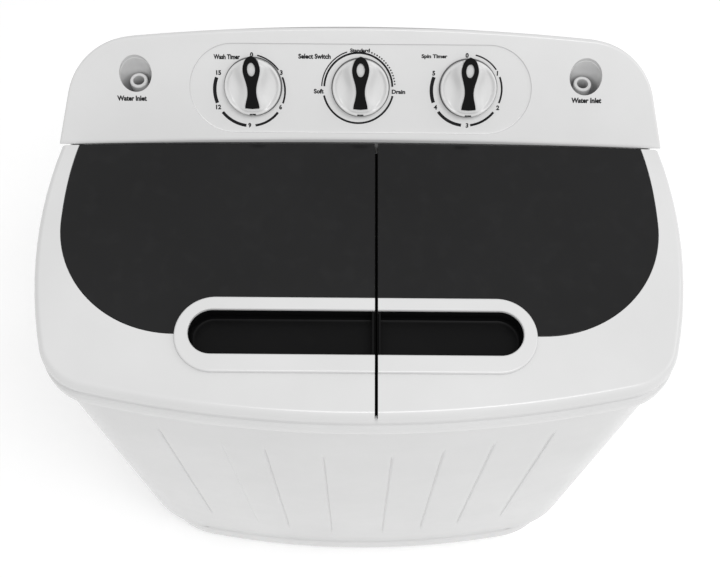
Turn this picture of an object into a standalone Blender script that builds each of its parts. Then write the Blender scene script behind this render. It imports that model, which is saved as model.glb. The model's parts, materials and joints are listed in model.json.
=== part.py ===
"""Portable twin tub washer: a wash tub on the left, a spin dryer on the right, one console behind both lids.

Units are metres. +Z is up, the front faces -Y, and the origin is at the middle of the footprint on the floor.
"""

import math

import bmesh
import bpy
from mathutils import Matrix, Vector

# ---- Overall size and the curves of the plan outline ----
HALF_WIDTH = 0.2975
FRONT = -0.1770
REAR = 0.180
FRONT_BOW_RADIUS = 1.12
SIDE_BOW_RADIUS = 0.42
RIM_CORNER = 0.055
REAR_CORNER = 0.035
GAP = 0.0003

# ---- Body ----
CASING_HALF_WIDTH_TOP = 0.2915
CASING_HALF_WIDTH_FOOT = 0.2825
CASING_FRONT_TOP = -0.1745
CASING_FRONT_FOOT = -0.1812
CASING_REAR = 0.1715
CASING_CORNER = 0.058
CASING_FOOT = 0.058
CASING_TOP = 0.5597
CASING_WALL = 0.0025
BASE_HALF_WIDTH = 0.276
BASE_FRONT = -0.1830
BASE_CORNER = 0.085
BASE_UNDERSIDE = 0.008
BASE_WALL = 0.003
FOOT_X = 0.190
FOOT_Y = 0.115

# ---- Deck ----
RIM_LIP = 0.546
RIM_TOP = 0.575
PLATE_TOP = 0.563
PLATE_UNDERSIDE = 0.560
RIM_WIDTH = 0.009

# ---- Lids ----
LID_UNDERSIDE = 0.5753
LID_TOP = 0.5875
LID_LEDGE_TOP = 0.5842
LID_LEDGE_UNDERSIDE = 0.5815
LID_WALL = 0.0035
LID_SPLIT = 0.0155
LID_SPLIT_GAP = 0.0028
LID_REAR_INSET = 0.0046
LID_REAR_STEP_Y = 0.0795
DECK_REAR_INSET = 0.0036
DECK_REAR_RECESS_Y = (0.0775, 0.0998)
HINGE_Y = 0.0825
HINGE_Z = 0.5785
HINGE_PIN_RADIUS = 0.0017
HINGE_BORE_RADIUS = 0.0021
HINGE_BOSS_RADIUS = 0.0034
HANDLE_X = -0.0025
HANDLE_OUTER = (0.317, 0.070, -0.0993)
HANDLE_INNER = (0.293, 0.0415, -0.0971)
HANDLE_TOP = 0.5910
POCKET_FLOOR = 0.5690
WINDOW_REAR_CURVE = 0.0095

# ---- Console: its face slopes back from the lids ----
CONSOLE_SLOPE = math.radians(40.0)
CONSOLE_EDGE_Y = 0.097
CONSOLE_EDGE_Z = 0.593
CONSOLE_EDGE_BOW = 0.0045
CONSOLE_EDGE_HALF = 0.2848
CONSOLE_LEAN = 0.24
CONSOLE_LENGTH = 0.103
CONSOLE_TOP_ARCH = 0.011
CONSOLE_CORNER = 0.068
CONSOLE_WALL = 0.003
CONSOLE_PLAN_HALF_WIDTH = 0.2955
CONSOLE_LIP_UNDERSIDE = 0.588
CONSOLE_FRONT_WALL_Y = 0.1005
CONSOLE_BOTTOM = RIM_TOP + GAP
BACK_COVER_THICKNESS = 0.0037
KNOB_X = (-0.100, 0.0, 0.100)
KNOB_S = 0.0485
KNOB_RADIUS = 0.026
INLET_X = 0.209
INLET_Y = 0.1455
INLET_POCKET_RADIUS = 0.0145

# ---- Tubs and drives ----
WASH_CENTRE = (-0.128, -0.029)
WASH_OPENING = (0.262, 0.214, 0.060)
WASH_TUB_FLOOR = 0.232
TUB_WALL = 0.0025
SPIN_CENTRE = (0.147, -0.028)
SPIN_OPENING_RADIUS = 0.104
SPIN_TUB_RADIUS = 0.1145
SPIN_TUB_FLOOR = 0.262
BASKET_RADIUS = 0.092
BASKET_FLOOR = 0.288
BASKET_TOP = 0.522
PULSATOR_RADIUS = 0.076
DRIVEN_PULLEY_RADIUS = 0.062
MOTOR_PULLEY_RADIUS = 0.014
PULLEY_LOW = 0.158
PULLEY_HIGH = 0.172
WASH_MOTOR_CENTRE = (-0.040, 0.062)
BRAKE_DRUM_RADIUS = 0.040
BRAKE_PIVOT = (0.190, 0.0215)
DRAIN_CENTRE = (-0.222, 0.040)


# ---- Scene helpers ----
def clear_scene():
    for obj in list(bpy.data.objects):
        bpy.data.objects.remove(obj, do_unlink=True)


def new_collection(name):
    collection = bpy.data.collections.new(name)
    bpy.context.scene.collection.children.link(collection)
    return collection


def new_material(name, colour, roughness, metallic=0.0):
    material = bpy.data.materials.new(name)
    material.use_nodes = True
    shader = material.node_tree.nodes["Principled BSDF"]
    shader.inputs["Base Color"].default_value = (*colour, 1.0)
    shader.inputs["Roughness"].default_value = roughness
    shader.inputs["Metallic"].default_value = metallic
    return material


def add_object(name, mesh, collection, location=(0.0, 0.0, 0.0), material=None):
    obj = bpy.data.objects.new(name, mesh)
    obj.location = location
    collection.objects.link(obj)
    if material is not None:
        mesh.materials.append(material)
    return obj


def as_cutter(obj):
    obj.hide_render = True
    obj.display_type = "WIRE"
    for collection in list(obj.users_collection):
        collection.objects.unlink(obj)
    CUTTERS.objects.link(obj)
    return obj


def boolean(target, other, operation="DIFFERENCE"):
    as_cutter(other)
    modifier = target.modifiers.new(f"{operation.lower()} {other.name}", "BOOLEAN")
    modifier.operation = operation
    modifier.solver = "EXACT"
    modifier.object = other
    return target


def pivot(name, location):
    empty = bpy.data.objects.new(name, None)
    empty.location = location
    empty.empty_display_size = 0.02
    PARTS.objects.link(empty)
    return empty


def hang_on(empty, *pieces):
    """Parents pieces to an empty on their joint's axis and leaves them where they are."""
    for piece in pieces:
        piece.parent = empty
        piece.matrix_parent_inverse = Matrix.Translation(empty.location).inverted()


# ---- Outlines ----
def arc(centre, radius, start, end, steps):
    """Points from the start angle to the end angle, both in degrees and both included."""
    points = []
    for i in range(steps + 1):
        angle = math.radians(start + (end - start) * i / steps)
        points.append((centre[0] + radius * math.cos(angle), centre[1] + radius * math.sin(angle)))
    return points


def circle(centre, radius, steps=32):
    return arc(centre, radius, 0.0, 360.0, steps)[:-1]


def rounded_rectangle(centre, width, depth, radius, steps=5):
    points = []
    for quarter, (sx, sy) in enumerate(((1, -1), (1, 1), (-1, 1), (-1, -1))):
        middle = (centre[0] + sx * (width / 2 - radius), centre[1] + sy * (depth / 2 - radius))
        points += arc(middle, radius, 90.0 * (quarter - 1), 90.0 * quarter, steps)
    return points


def stadium(centre_x, size, grow=0.0, steps=6):
    """An outline with round ends, from (length, width, centre y)."""
    length, width, centre_y = size
    radius = width / 2 + grow - 0.0001
    return rounded_rectangle((centre_x, centre_y), length + 2 * grow, width + 2 * grow, radius, steps)


def circles_meet(first, first_radius, second, second_radius, side):
    """One of the two points where two circles cross: the one on that side of the line between them."""
    line = Vector(second) - Vector(first)
    along = (first_radius**2 - second_radius**2 + line.length_squared) / (2 * line.length)
    across = math.sqrt(first_radius**2 - along**2)
    unit = line.normalized()
    return Vector(first) + unit * along + Vector((-unit.y, unit.x)) * across * side


def angle_of(vector):
    return math.degrees(math.atan2(vector.y, vector.x))


def plan_outline(half_width, front, rear, corner, rear_corner, inset=0.0):
    """The body's outline from above: a bowed front, bowed sides and round corners, anticlockwise."""
    front_middle = Vector((0.0, front + FRONT_BOW_RADIUS))
    side_middle = Vector((half_width - SIDE_BOW_RADIUS, 0.0))
    corner_middle = circles_meet(
        front_middle, FRONT_BOW_RADIUS - corner, side_middle, SIDE_BOW_RADIUS - corner, 1
    )
    rear_y = rear - rear_corner
    rear_x = side_middle.x + math.sqrt((SIDE_BOW_RADIUS - rear_corner) ** 2 - rear_y**2)
    rear_middle = Vector((rear_x, rear_y))
    front_end = angle_of(corner_middle - front_middle)
    side_start = angle_of(corner_middle - side_middle)
    side_end = angle_of(rear_middle - side_middle)
    right = arc(front_middle, FRONT_BOW_RADIUS - inset, -90.0, front_end, 5)
    right += arc(corner_middle, corner - inset, front_end, side_start, 5)[1:]
    right += arc(side_middle, SIDE_BOW_RADIUS - inset, side_start, side_end, 5)[1:]
    right += arc(rear_middle, rear_corner - inset, side_end, 90.0, 3)[1:]
    return right + [(-x, y) for x, y in reversed(right[1:])]


def rim_outline(inset=0.0):
    return plan_outline(HALF_WIDTH, FRONT, REAR, RIM_CORNER, REAR_CORNER, inset)


def console_outline(inset=0.0):
    """The console's plan: narrower than the rim, and flush with it at the back."""
    return plan_outline(CONSOLE_PLAN_HALF_WIDTH, FRONT, REAR, RIM_CORNER, REAR_CORNER, inset)


def casing_outline(z, inset=0.0):
    share = (z - CASING_FOOT) / (CASING_TOP - CASING_FOOT)
    half_width = CASING_HALF_WIDTH_FOOT + share * (CASING_HALF_WIDTH_TOP - CASING_HALF_WIDTH_FOOT)
    front = CASING_FRONT_FOOT + share * (CASING_FRONT_TOP - CASING_FRONT_FOOT)
    return plan_outline(half_width, front, CASING_REAR, CASING_CORNER, REAR_CORNER, inset)


def base_outline(inset=0.0):
    return plan_outline(BASE_HALF_WIDTH, BASE_FRONT, CASING_REAR, BASE_CORNER, REAR_CORNER, inset)


def console_edge_y(x):
    """The console's bowed lower edge, which the lids' rear edges follow."""
    return CONSOLE_EDGE_Y - CONSOLE_EDGE_BOW * (x / CONSOLE_EDGE_HALF) ** 2


# ---- Mesh helpers ----
def loft(name, rings, material=None, caps=True, collection=None):
    """Joins rings of equal point count, bottom ring first, with flat caps."""
    mesh = bpy.data.meshes.new(name)
    bm = bmesh.new()
    rows = [[bm.verts.new(point) for point in ring] for ring in rings]
    count = len(rows[0])
    for low, high in zip(rows, rows[1:]):
        for i in range(count):
            bm.faces.new((low[i], low[(i + 1) % count], high[(i + 1) % count], high[i]))
    if caps:
        bm.faces.new(list(reversed(rows[0])))
        bm.faces.new(rows[-1])
    bm.to_mesh(mesh)
    bm.free()
    mesh.shade_smooth()
    mesh.set_sharp_from_angle(angle=math.radians(35))
    return add_object(name, mesh, collection or PARTS, material=material)


def at_height(outline, z):
    return [(x, y, z) for x, y in outline]


def prism(name, outline, low, high, material=None):
    return loft(name, [at_height(outline, low), at_height(outline, high)], material)


def prism_along_x(name, outline_yz, low, high, material=None):
    """A section in Y and Z, anticlockwise seen from +X, drawn out along X."""
    rings = [[(x, y, z) for y, z in outline_yz] for x in (low, high)]
    return loft(name, rings, material)


def box(name, low, high, material=None):
    mesh = bpy.data.meshes.new(name)
    bm = bmesh.new()
    bmesh.ops.create_cube(bm, size=1.0)
    size = [b - a for a, b in zip(low, high)]
    bmesh.ops.scale(bm, vec=size, verts=bm.verts)
    bm.to_mesh(mesh)
    bm.free()
    middle = [(a + b) / 2 for a, b in zip(low, high)]
    return add_object(name, mesh, PARTS, middle, material)


def rod(name, start, end, radius, material=None, segments=16):
    """A cylinder between two points, with its origin at the start."""
    start, end = Vector(start), Vector(end)
    mesh = bpy.data.meshes.new(name)
    bm = bmesh.new()
    length = (end - start).length
    bmesh.ops.create_cone(
        bm, cap_ends=True, segments=segments, radius1=radius, radius2=radius, depth=length,
        matrix=Matrix.Translation((0.0, 0.0, length / 2)),
    )
    bm.to_mesh(mesh)
    bm.free()
    mesh.shade_smooth()
    mesh.set_sharp_from_angle(angle=math.radians(35))
    obj = add_object(name, mesh, PARTS, start, material)
    obj.rotation_euler = Vector((0.0, 0.0, 1.0)).rotation_difference(end - start).to_euler()
    return obj


def turned(name, profile, location, material=None, steps=24, closed=False):
    """A profile of (radius, height) points that runs down its outer side, turned about the object's own Z."""
    mesh = bpy.data.meshes.new(name)
    points = [(radius, 0.0, height) for radius, height in profile]
    edges = [(i, i + 1) for i in range(len(points) - 1)]
    if closed:
        edges.append((len(points) - 1, 0))
    mesh.from_pydata(points, edges, [])
    obj = add_object(name, mesh, PARTS, location, material)
    screw = obj.modifiers.new("turn", "SCREW")
    screw.angle = 2 * math.pi
    screw.steps = steps
    screw.render_steps = steps
    screw.use_merge_vertices = True
    screw.merge_threshold = 0.00001
    screw.use_smooth_shade = True
    return obj


def ring_profile(outer, inner, low, high):
    return [(outer, high), (outer, low), (inner, low), (inner, high)]


def panel_point(x, s, height=0.0):
    """A point on the console's face: s runs up the slope from its lower edge, height stands off the face."""
    return Vector((
        x,
        CONSOLE_EDGE_Y + s * math.cos(CONSOLE_SLOPE) - height * math.sin(CONSOLE_SLOPE),
        CONSOLE_EDGE_Z + s * math.sin(CONSOLE_SLOPE) + height * math.cos(CONSOLE_SLOPE),
    ))


def on_panel(obj, x, s, height=0.0):
    obj.location = panel_point(x, s, height)
    obj.rotation_euler = (CONSOLE_SLOPE, 0.0, 0.0)
    return obj


def panel_height(y, depth=0.0):
    """The Z of the console's face at this Y, or of a plane that depth below it."""
    drop = depth / math.cos(CONSOLE_SLOPE)
    return CONSOLE_EDGE_Z - drop + (y - CONSOLE_EDGE_Y) * math.tan(CONSOLE_SLOPE)


# ---- Body ----
def make_outer_casing():
    heights = (CASING_FOOT, CASING_TOP)
    rings = [at_height(casing_outline(z), z) for z in heights]
    casing = loft("outer_casing", rings, WHITE_PLASTIC, caps=False)
    shell = casing.modifiers.new("wall", "SOLIDIFY")
    shell.thickness = CASING_WALL
    shell.offset = -1.0
    boolean(casing, box("casing_service_opening", (-0.150, 0.160, 0.100), (0.150, 0.185, 0.270)))
    boolean(casing, rod("casing_gland_hole", (0.190, 0.160, 0.090), (0.190, 0.185, 0.090), 0.0072))
    boolean(casing, rod("casing_drain_hole", (-0.200, 0.160, 0.090), (-0.200, 0.185, 0.090), 0.0118))
    return casing


def make_base_tray():
    base = prism("base_tray", base_outline(), BASE_UNDERSIDE, CASING_FOOT - 0.003, WHITE_PLASTIC)
    flange = prism("base_flange", casing_outline(CASING_FOOT), CASING_FOOT - 0.004, CASING_FOOT - GAP)
    lip = prism("base_lip", casing_outline(CASING_FOOT, CASING_WALL + 0.0006), 0.056, 0.070)
    boolean(base, flange, "UNION")
    boolean(base, lip, "UNION")
    well = prism("base_well", base_outline(BASE_WALL), BASE_UNDERSIDE + 0.003, 0.080)
    boolean(base, well)
    upper = prism("base_well_upper", casing_outline(CASING_FOOT, 0.0055), CASING_FOOT - 0.001, 0.080)
    boolean(base, upper)
    return base


def make_feet():
    for x, side in ((-FOOT_X, "left"), (FOOT_X, "right")):
        for y, end in ((-FOOT_Y, "front"), (FOOT_Y, "rear")):
            profile = [
                (0.0, BASE_UNDERSIDE - GAP),
                (0.016, BASE_UNDERSIDE - GAP),
                (0.0145, 0.0),
                (0.0, 0.0),
            ]
            turned(f"foot_{end}_{side}", profile, (x, y, 0.0), BLACK_RUBBER, 14)


def make_service_panel():
    panel = box("rear_service_panel", (-0.162, 0.1718, 0.088), (0.162, 0.1743, 0.282), WHITE_PLASTIC)
    for i in range(5):
        z = 0.135 + 0.025 * i
        slot = box(f"service_panel_slot_{i}", (-0.070, 0.165, z), (0.070, 0.180, z + 0.006))
        boolean(panel, slot)
    return panel


def make_cord_gland():
    profile = [
        (0.0105, 0.0078), (0.0105, 0.0003), (0.0069, 0.0003), (0.0069, -0.016), (0.0040, -0.016), (0.0040, 0.0078)
    ]
    gland = turned("cord_gland", profile, (0.190, CASING_REAR, 0.090), BLACK_RUBBER, 16, closed=True)
    gland.rotation_euler = (math.radians(-90), 0.0, 0.0)
    return gland


def make_drain_spigot():
    profile = [
        (0.0112, 0.0080), (0.0112, -0.026), (0.0085, -0.026), (0.0085, 0.0080)
    ]
    spigot = turned("drain_spigot", profile, (-0.200, CASING_REAR, 0.090), GREY_PLASTIC, 20, closed=True)
    spigot.rotation_euler = (math.radians(-90), 0.0, 0.0)
    return spigot


# ---- Deck ----
def hinge_boss_spans():
    """The X span of each boss on the deck that holds one lid pin."""
    inner = LID_SPLIT_GAP / 2 + LID_WALL
    return {
        "wash_outer": (-0.2785, -0.2725),
        "wash_inner": (LID_SPLIT - inner - 0.0080, LID_SPLIT - inner - 0.0020),
        "spin_inner": (LID_SPLIT + inner + 0.0020, LID_SPLIT + inner + 0.0080),
        "spin_outer": (0.2725, 0.2785),
    }


def boss_outline():
    """A post that rises from the deck to a round eye on the hinge axis, in Y and Z."""
    eye = arc((HINGE_Y, HINGE_Z), HINGE_BOSS_RADIUS, 0.0, 180.0, 8)
    foot = PLATE_TOP - 0.001
    return [(HINGE_Y - HINGE_BOSS_RADIUS, foot), (HINGE_Y + HINGE_BOSS_RADIUS, foot)] + eye


def make_top_deck():
    profile = ((RIM_LIP, 0.0012), (0.5475, 0.0), (0.5545, 0.0), (0.5565, 0.0013), (0.5730, 0.0010), (RIM_TOP, 0.0026))
    deck = loft("top_deck", [at_height(rim_outline(inset), z) for z, inset in profile], WHITE_PLASTIC)
    boolean(deck, prism("deck_well", rim_outline(RIM_WIDTH), PLATE_TOP, 0.600))
    recess_low = (-0.300, DECK_REAR_RECESS_Y[0], PLATE_TOP)
    recess = box("deck_hinge_recess", recess_low, (0.300, DECK_REAR_RECESS_Y[1], 0.600))
    boolean(recess, prism("deck_hinge_recess_plan", rim_outline(DECK_REAR_INSET), 0.540, 0.620), "INTERSECT")
    boolean(deck, recess)
    boolean(deck, prism("deck_casing_socket", casing_outline(CASING_TOP, -0.0005), 0.500, PLATE_UNDERSIDE))
    width, depth, radius = WASH_OPENING
    opening = prism("deck_wash_opening", rounded_rectangle(WASH_CENTRE, width, depth, radius), 0.540, 0.590)
    boolean(deck, opening)
    boolean(deck, prism("deck_spin_opening", circle(SPIN_CENTRE, SPIN_OPENING_RADIUS, 40), 0.540, 0.590))
    for name, (low, high) in hinge_boss_spans().items():
        boolean(deck, prism_along_x(f"deck_boss_{name}", boss_outline(), low, high), "UNION")
        bore = rod(
            f"deck_bore_{name}", (low - 0.001, HINGE_Y, HINGE_Z), (high + 0.001, HINGE_Y, HINGE_Z),
            HINGE_BORE_RADIUS,
        )
        boolean(deck, bore)
    return deck


# ---- Console ----
def console_face_outline(inset=0.0):
    """The face's outline in (x, s): straight leaning sides, an arched top and round top corners."""
    top_radius = 0.224**2 / (2 * CONSOLE_TOP_ARCH) + CONSOLE_TOP_ARCH / 2
    top_middle = Vector((0.0, CONSOLE_LENGTH - top_radius))
    side = Vector((-CONSOLE_LEAN, 1.0)).normalized()
    outward = Vector((side.y, -side.x))
    edge_point = Vector((CONSOLE_EDGE_HALF, -0.0055))
    reach = CONSOLE_CORNER
    line_point = edge_point - outward * reach
    to_line = line_point - top_middle
    half_b = to_line.dot(side)
    rest = to_line.length_squared - (top_radius - reach) ** 2
    corner_middle = line_point + side * (-half_b + math.sqrt(half_b**2 - rest))
    start = angle_of(outward)
    turn = angle_of(corner_middle - top_middle)
    right = [tuple(edge_point - side * 0.060 - outward * inset)]
    right += arc(corner_middle, reach - inset, start, turn, 8)
    right += arc(top_middle, top_radius - inset, turn, 90.0, 6)[1:]
    return right + [(-x, s) for x, s in reversed(right[:-1])]


def face_prism(name, inset):
    """The face's outline driven straight into the console, square to the face."""
    outline = console_face_outline(inset)
    rings = [[tuple(panel_point(x, s, height)) for x, s in outline] for height in (-0.16, 0.03)]
    return loft(name, rings)


def console_block(name, rear, front=None, material=None):
    """The console's outer form between two Y planes, as a wedge cut by its face outline and by the rim's plan."""
    if front is None:
        section = [
            (0.0900, CONSOLE_LIP_UNDERSIDE), (CONSOLE_FRONT_WALL_Y, CONSOLE_LIP_UNDERSIDE),
            (CONSOLE_FRONT_WALL_Y, CONSOLE_BOTTOM), (rear, CONSOLE_BOTTOM), (rear, panel_height(rear)),
            (0.0915, panel_height(0.0915)), (0.0900, panel_height(0.0915)),
        ]
    else:
        section = [(front, CONSOLE_BOTTOM), (rear, CONSOLE_BOTTOM), (rear, panel_height(rear)), (front, panel_height(front))]
    block = prism_along_x(name, section, -0.300, 0.300, material)
    boolean(block, face_prism(f"{name}_face_cut", 0.0), "INTERSECT")
    boolean(block, prism(f"{name}_plan_cut", console_outline(), 0.500, 0.700), "INTERSECT")
    return block


def bowed_edge_cutter(name, low, high, offset=0.0):
    """Everything in front of the console's bowed edge."""
    xs = [-0.300 + 0.030 * i for i in range(21)]
    outline = [(x, 0.040) for x in (-0.300, 0.300)]
    outline += [(x, console_edge_y(x) + offset) for x in reversed(xs)]
    return prism(name, outline, low, high)


def make_console_housing():
    housing = console_block("console_housing", REAR - BACK_COVER_THICKNESS - GAP, material=WHITE_PLASTIC)
    boolean(housing, bowed_edge_cutter("console_edge_cut", 0.560, 0.605))
    inner_front = CONSOLE_FRONT_WALL_Y + CONSOLE_WALL
    section = [
        (inner_front, 0.500), (0.250, 0.500), (0.250, panel_height(0.250, CONSOLE_WALL)),
        (inner_front, panel_height(inner_front, CONSOLE_WALL)),
    ]
    hollow = prism_along_x("console_hollow", section, -0.300, 0.300)
    boolean(hollow, face_prism("console_hollow_face", CONSOLE_WALL), "INTERSECT")
    boolean(hollow, prism("console_hollow_plan", console_outline(CONSOLE_WALL), 0.400, 0.800), "INTERSECT")
    boolean(housing, hollow)
    leg_low = (-0.2650, CONSOLE_FRONT_WALL_Y, PLATE_TOP + GAP)
    leg = box("console_leg", leg_low, (0.2650, inner_front, CONSOLE_BOTTOM + 0.004))
    boolean(housing, leg, "UNION")
    for i, x in enumerate(KNOB_X):
        hole = rod(f"console_shaft_hole_{i}", panel_point(x, KNOB_S, -0.010), panel_point(x, KNOB_S, 0.010), 0.0040)
        boolean(housing, hole)
    for side in (-1, 1):
        start = (side * INLET_X, INLET_Y, 0.600)
        end = (side * INLET_X, INLET_Y, 0.680)
        boolean(housing, rod(f"console_inlet_hole_{side}", start, end, INLET_POCKET_RADIUS, segments=32))
    return housing


def make_console_back_cover():
    cover = console_block("console_back_cover", REAR, REAR - BACK_COVER_THICKNESS, WHITE_PLASTIC)
    return cover


def make_water_inlet(name, side):
    """An upright cup let into the console, with a nozzle in its floor that the fill hose goes onto."""
    floor = 0.6105
    top = 0.650
    outer = INLET_POCKET_RADIUS + 0.0025
    nozzle, bore, spout = 0.0080, 0.0052, 0.0072
    profile = [
        (outer, top), (outer, floor - 0.0025), (spout, floor - 0.0025), (spout, 0.585), (bore, 0.585),
        (bore, 0.6157), (nozzle, 0.6157), (nozzle, floor), (INLET_POCKET_RADIUS, floor), (INLET_POCKET_RADIUS, top),
    ]
    inlet = turned(name, profile, (side * INLET_X, INLET_Y, 0.0), WHITE_PLASTIC, 20, closed=True)
    slab = box(f"{name}_top_cut", (-0.030, -0.050, 0.0), (0.030, 0.050, 0.060))
    on_panel(slab, side * INLET_X, 0.060, 0.0)
    slab.location = panel_point(side * INLET_X, 0.060, 0.030 - CONSOLE_WALL - GAP)
    boolean(inlet, slab)
    return inlet


# ---- Controls ----
def pointer_outline(grow=0.0):
    """The pointer from above: an almond head with a point, a waist, and a flared tail, in local X and Y."""
    head_middle, head_half, head_reach = 0.0175, 0.0078, 0.0120
    tail, tail_half, waist_half = -0.0190, 0.0067, 0.0039
    right = [(0.0, tail - 0.0006 - grow), (tail_half + grow, tail - grow)]
    for i in range(1, 7):
        y = tail + (head_middle - tail) * i / 7
        share = (y - tail) / (head_middle - tail)
        flare = (tail_half - waist_half) * math.exp(-((share / 0.28) ** 2))
        swell = (head_half - waist_half) * math.exp(-(((1.0 - share) / 0.36) ** 2))
        right.append((waist_half + flare + swell + grow, y))
    for i in range(6):
        lift = i / 6
        right.append((head_half * (1.0 - lift**1.8) + grow * (1.0 - lift), head_middle + head_reach * lift))
    right.append((0.0, head_middle + head_reach + grow))
    return right + [(-x, y) for x, y in reversed(right[1:-1])]


def pointer_height(y):
    """How high the grip stands over the dial at this local Y: low at the tail, high at the head."""
    return 0.0100 + 0.0060 * (y + 0.0190) / 0.0485


def make_control(name, x, turn_names):
    """A dial with a raised grip, the black pointer let into the grip, and the shaft that both turn."""
    knob_name, pointer_name, shaft_name = turn_names
    r = KNOB_RADIUS
    profile = [
        (0.0, 0.0042), (r - 0.0050, 0.0042), (r - 0.0022, 0.0072), (r - 0.0006, 0.0072), (r, 0.0062),
        (r, 0.0008), (0.0034, 0.0008), (0.0034, 0.0036), (0.0, 0.0036),
    ]
    knob = turned(knob_name, profile, (0, 0, 0), WHITE_PLASTIC, 28)
    on_panel(knob, x, KNOB_S)
    outline = pointer_outline(0.0005)
    rings = [
        [(px, py, 0.0039) for px, py in outline],
        [(px, py, pointer_height(py)) for px, py in outline],
    ]
    grip = on_panel(loft(f"{name}_grip_form", rings), x, KNOB_S)
    boolean(knob, grip, "UNION")
    outline = pointer_outline()
    rings = [
        [(px, py, pointer_height(py) + lift) for px, py in outline] for lift in (GAP, 0.0022)
    ]
    pointer = on_panel(loft(pointer_name, rings, BLACK_PLASTIC), x, KNOB_S)
    eye = [(0.0038 * math.cos(a), 0.0170 + 0.0062 * math.sin(a)) for a in (2 * math.pi * i / 20 for i in range(20))]
    hole = loft(f"{name}_pointer_eye", [[(px, py, z) for px, py in eye] for z in (0.0, 0.030)])
    boolean(pointer, on_panel(hole, x, KNOB_S))
    shaft = rod(shaft_name, panel_point(x, KNOB_S, -0.0065), panel_point(x, KNOB_S, 0.0033), 0.0030, STEEL, 12)
    axle = pivot(f"{name}_axis", panel_point(x, KNOB_S))
    hang_on(axle, knob, pointer, shaft)


def make_switch_body(name, x, depth):
    """The timer or switch that hangs under the console's face, with its threaded neck."""
    mesh_low, mesh_high = (-0.021, -0.0195, -depth), (0.021, 0.0195, -0.0070)
    body = on_panel(box(name, mesh_low, mesh_high, GREY_PLASTIC), x, KNOB_S)
    body.location = panel_point(x, KNOB_S, (mesh_low[2] + mesh_high[2]) / 2)
    return body


# ---- Lids ----
def lid_form(name, inset, low, high, side, side_inset, rear_gap):
    """One lid's plan between two heights: the rim's outline, cut at the split and along the console."""
    return keep_lid_side(prism(name, rim_outline(inset), low, high), side, side_inset, rear_gap)


def keep_lid_side(form, side, side_inset=0.0, rear_gap=0.0010):
    """Cuts a form that spans both lids down to one lid, short of the split and of the console's edge."""
    if side == "wash":
        start, end = -0.300, LID_SPLIT - LID_SPLIT_GAP / 2 - side_inset
    else:
        start, end = LID_SPLIT + LID_SPLIT_GAP / 2 + side_inset, 0.300
    steps = 12
    xs = [start + (end - start) * i / steps for i in range(steps + 1)]
    outline = [(start, -0.300), (end, -0.300)]
    outline += [(x, console_edge_y(x) - rear_gap) for x in reversed(xs)]
    boolean(form, prism(f"{form.name}_zone", outline, 0.400, 0.800), "INTERSECT")
    return form


def lid_rear_relief(name, inset, start_y):
    """What the lids lose at their rear corners, so that they swing down inside the deck's rim behind the hinge."""
    relief = box(name, (-0.310, start_y, 0.550), (0.310, 0.120, 0.610))
    return boolean(relief, prism(f"{name}_kept", rim_outline(inset), 0.540, 0.620))


def window_outline(grow=0.0):
    """The dark window over both lids: a straight front, round front corners, and sides that curve in to the rear."""
    half, front, corner, rear = 0.2735 + grow, -0.0990 - grow, 0.112 + grow, 0.100
    right = [(0.0, front)]
    right += arc((half - corner, front + corner), corner, -90.0, 0.0, 9)
    for share in (0.35, 0.60, 0.80, 1.0):
        y = front + corner + share * (rear - front - corner)
        right.append((half - WINDOW_REAR_CURVE * share**2.4, y))
    return right + [(-x, y) for x, y in reversed(right[1:])]


def make_lid_frame(name, side):
    """A white moulding with walls all round, a ledge for the window, a hole for the pocket and two hinge pins."""
    rings = (
        (LID_UNDERSIDE, 0.0024), (0.5790, 0.0027), (0.5835, 0.0040), (0.5862, 0.0060), (LID_TOP, 0.0095)
    )
    frame = loft(name, [at_height(rim_outline(inset), z) for z, inset in rings], WHITE_PLASTIC)
    keep_lid_side(frame, side)
    boolean(frame, lid_rear_relief(f"{name}_rear_relief", LID_REAR_INSET, LID_REAR_STEP_Y))
    rear = 0.0010 + LID_WALL
    hollow = lid_form(f"{name}_hollow", 0.0024 + LID_WALL, 0.500, LID_LEDGE_UNDERSIDE, side, LID_WALL, rear)
    relief = lid_rear_relief(f"{name}_hollow_relief", LID_REAR_INSET + LID_WALL, LID_REAR_STEP_Y - LID_WALL)
    boolean(hollow, relief)
    boolean(frame, hollow)
    boolean(frame, prism(f"{name}_window_recess", window_outline(), LID_LEDGE_TOP, 0.620))
    through = lid_form(f"{name}_window_hole", 0.0180, 0.500, 0.620, side, 0.0090, 0.0190)
    boolean(through, prism(f"{name}_window_hole_plan", window_outline(-0.009), 0.480, 0.640), "INTERSECT")
    boolean(frame, through)
    boolean(frame, prism(f"{name}_handle_hole", stadium(HANDLE_X, HANDLE_INNER, 0.0025), 0.500, 0.620))
    add_hinge_pins(frame, side)
    return frame


def add_hinge_pins(frame, side):
    """Notches over the deck's bosses, and a pin from each end wall through the eye beside it."""
    sign = -1 if side == "wash" else 1
    outer_wall = sign * 0.2815
    inner_wall = LID_SPLIT + sign * (LID_SPLIT_GAP / 2 + 0.0010)
    notch_top = HINGE_Z + HINGE_BOSS_RADIUS + 0.0005
    spans = hinge_boss_spans()
    for end, wall in (("outer", outer_wall), ("inner", inner_wall)):
        low, high = spans[f"{side}_{end}"]
        notch = box(
            f"{frame.name}_notch_{end}", (low - 0.0015, HINGE_Y - 0.0060, 0.560), (high + 0.0015, 0.099, notch_top)
        )
        boolean(frame, notch)
        tip = low if wall > high else high
        pin = rod(
            f"{frame.name}_pin_{end}", (wall, HINGE_Y, HINGE_Z), (tip, HINGE_Y, HINGE_Z), HINGE_PIN_RADIUS,
            segments=12,
        )
        boolean(frame, pin, "UNION")


def make_lid_window(name, side):
    window = prism(name, window_outline(-GAP), LID_LEDGE_TOP + GAP, LID_TOP, BLACK_GLOSS)
    keep_lid_side(window, side, 0.0006, 0.0014)
    boolean(window, prism(f"{name}_handle_hole", stadium(HANDLE_X, HANDLE_INNER, 0.0025), 0.500, 0.620))
    return window


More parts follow.
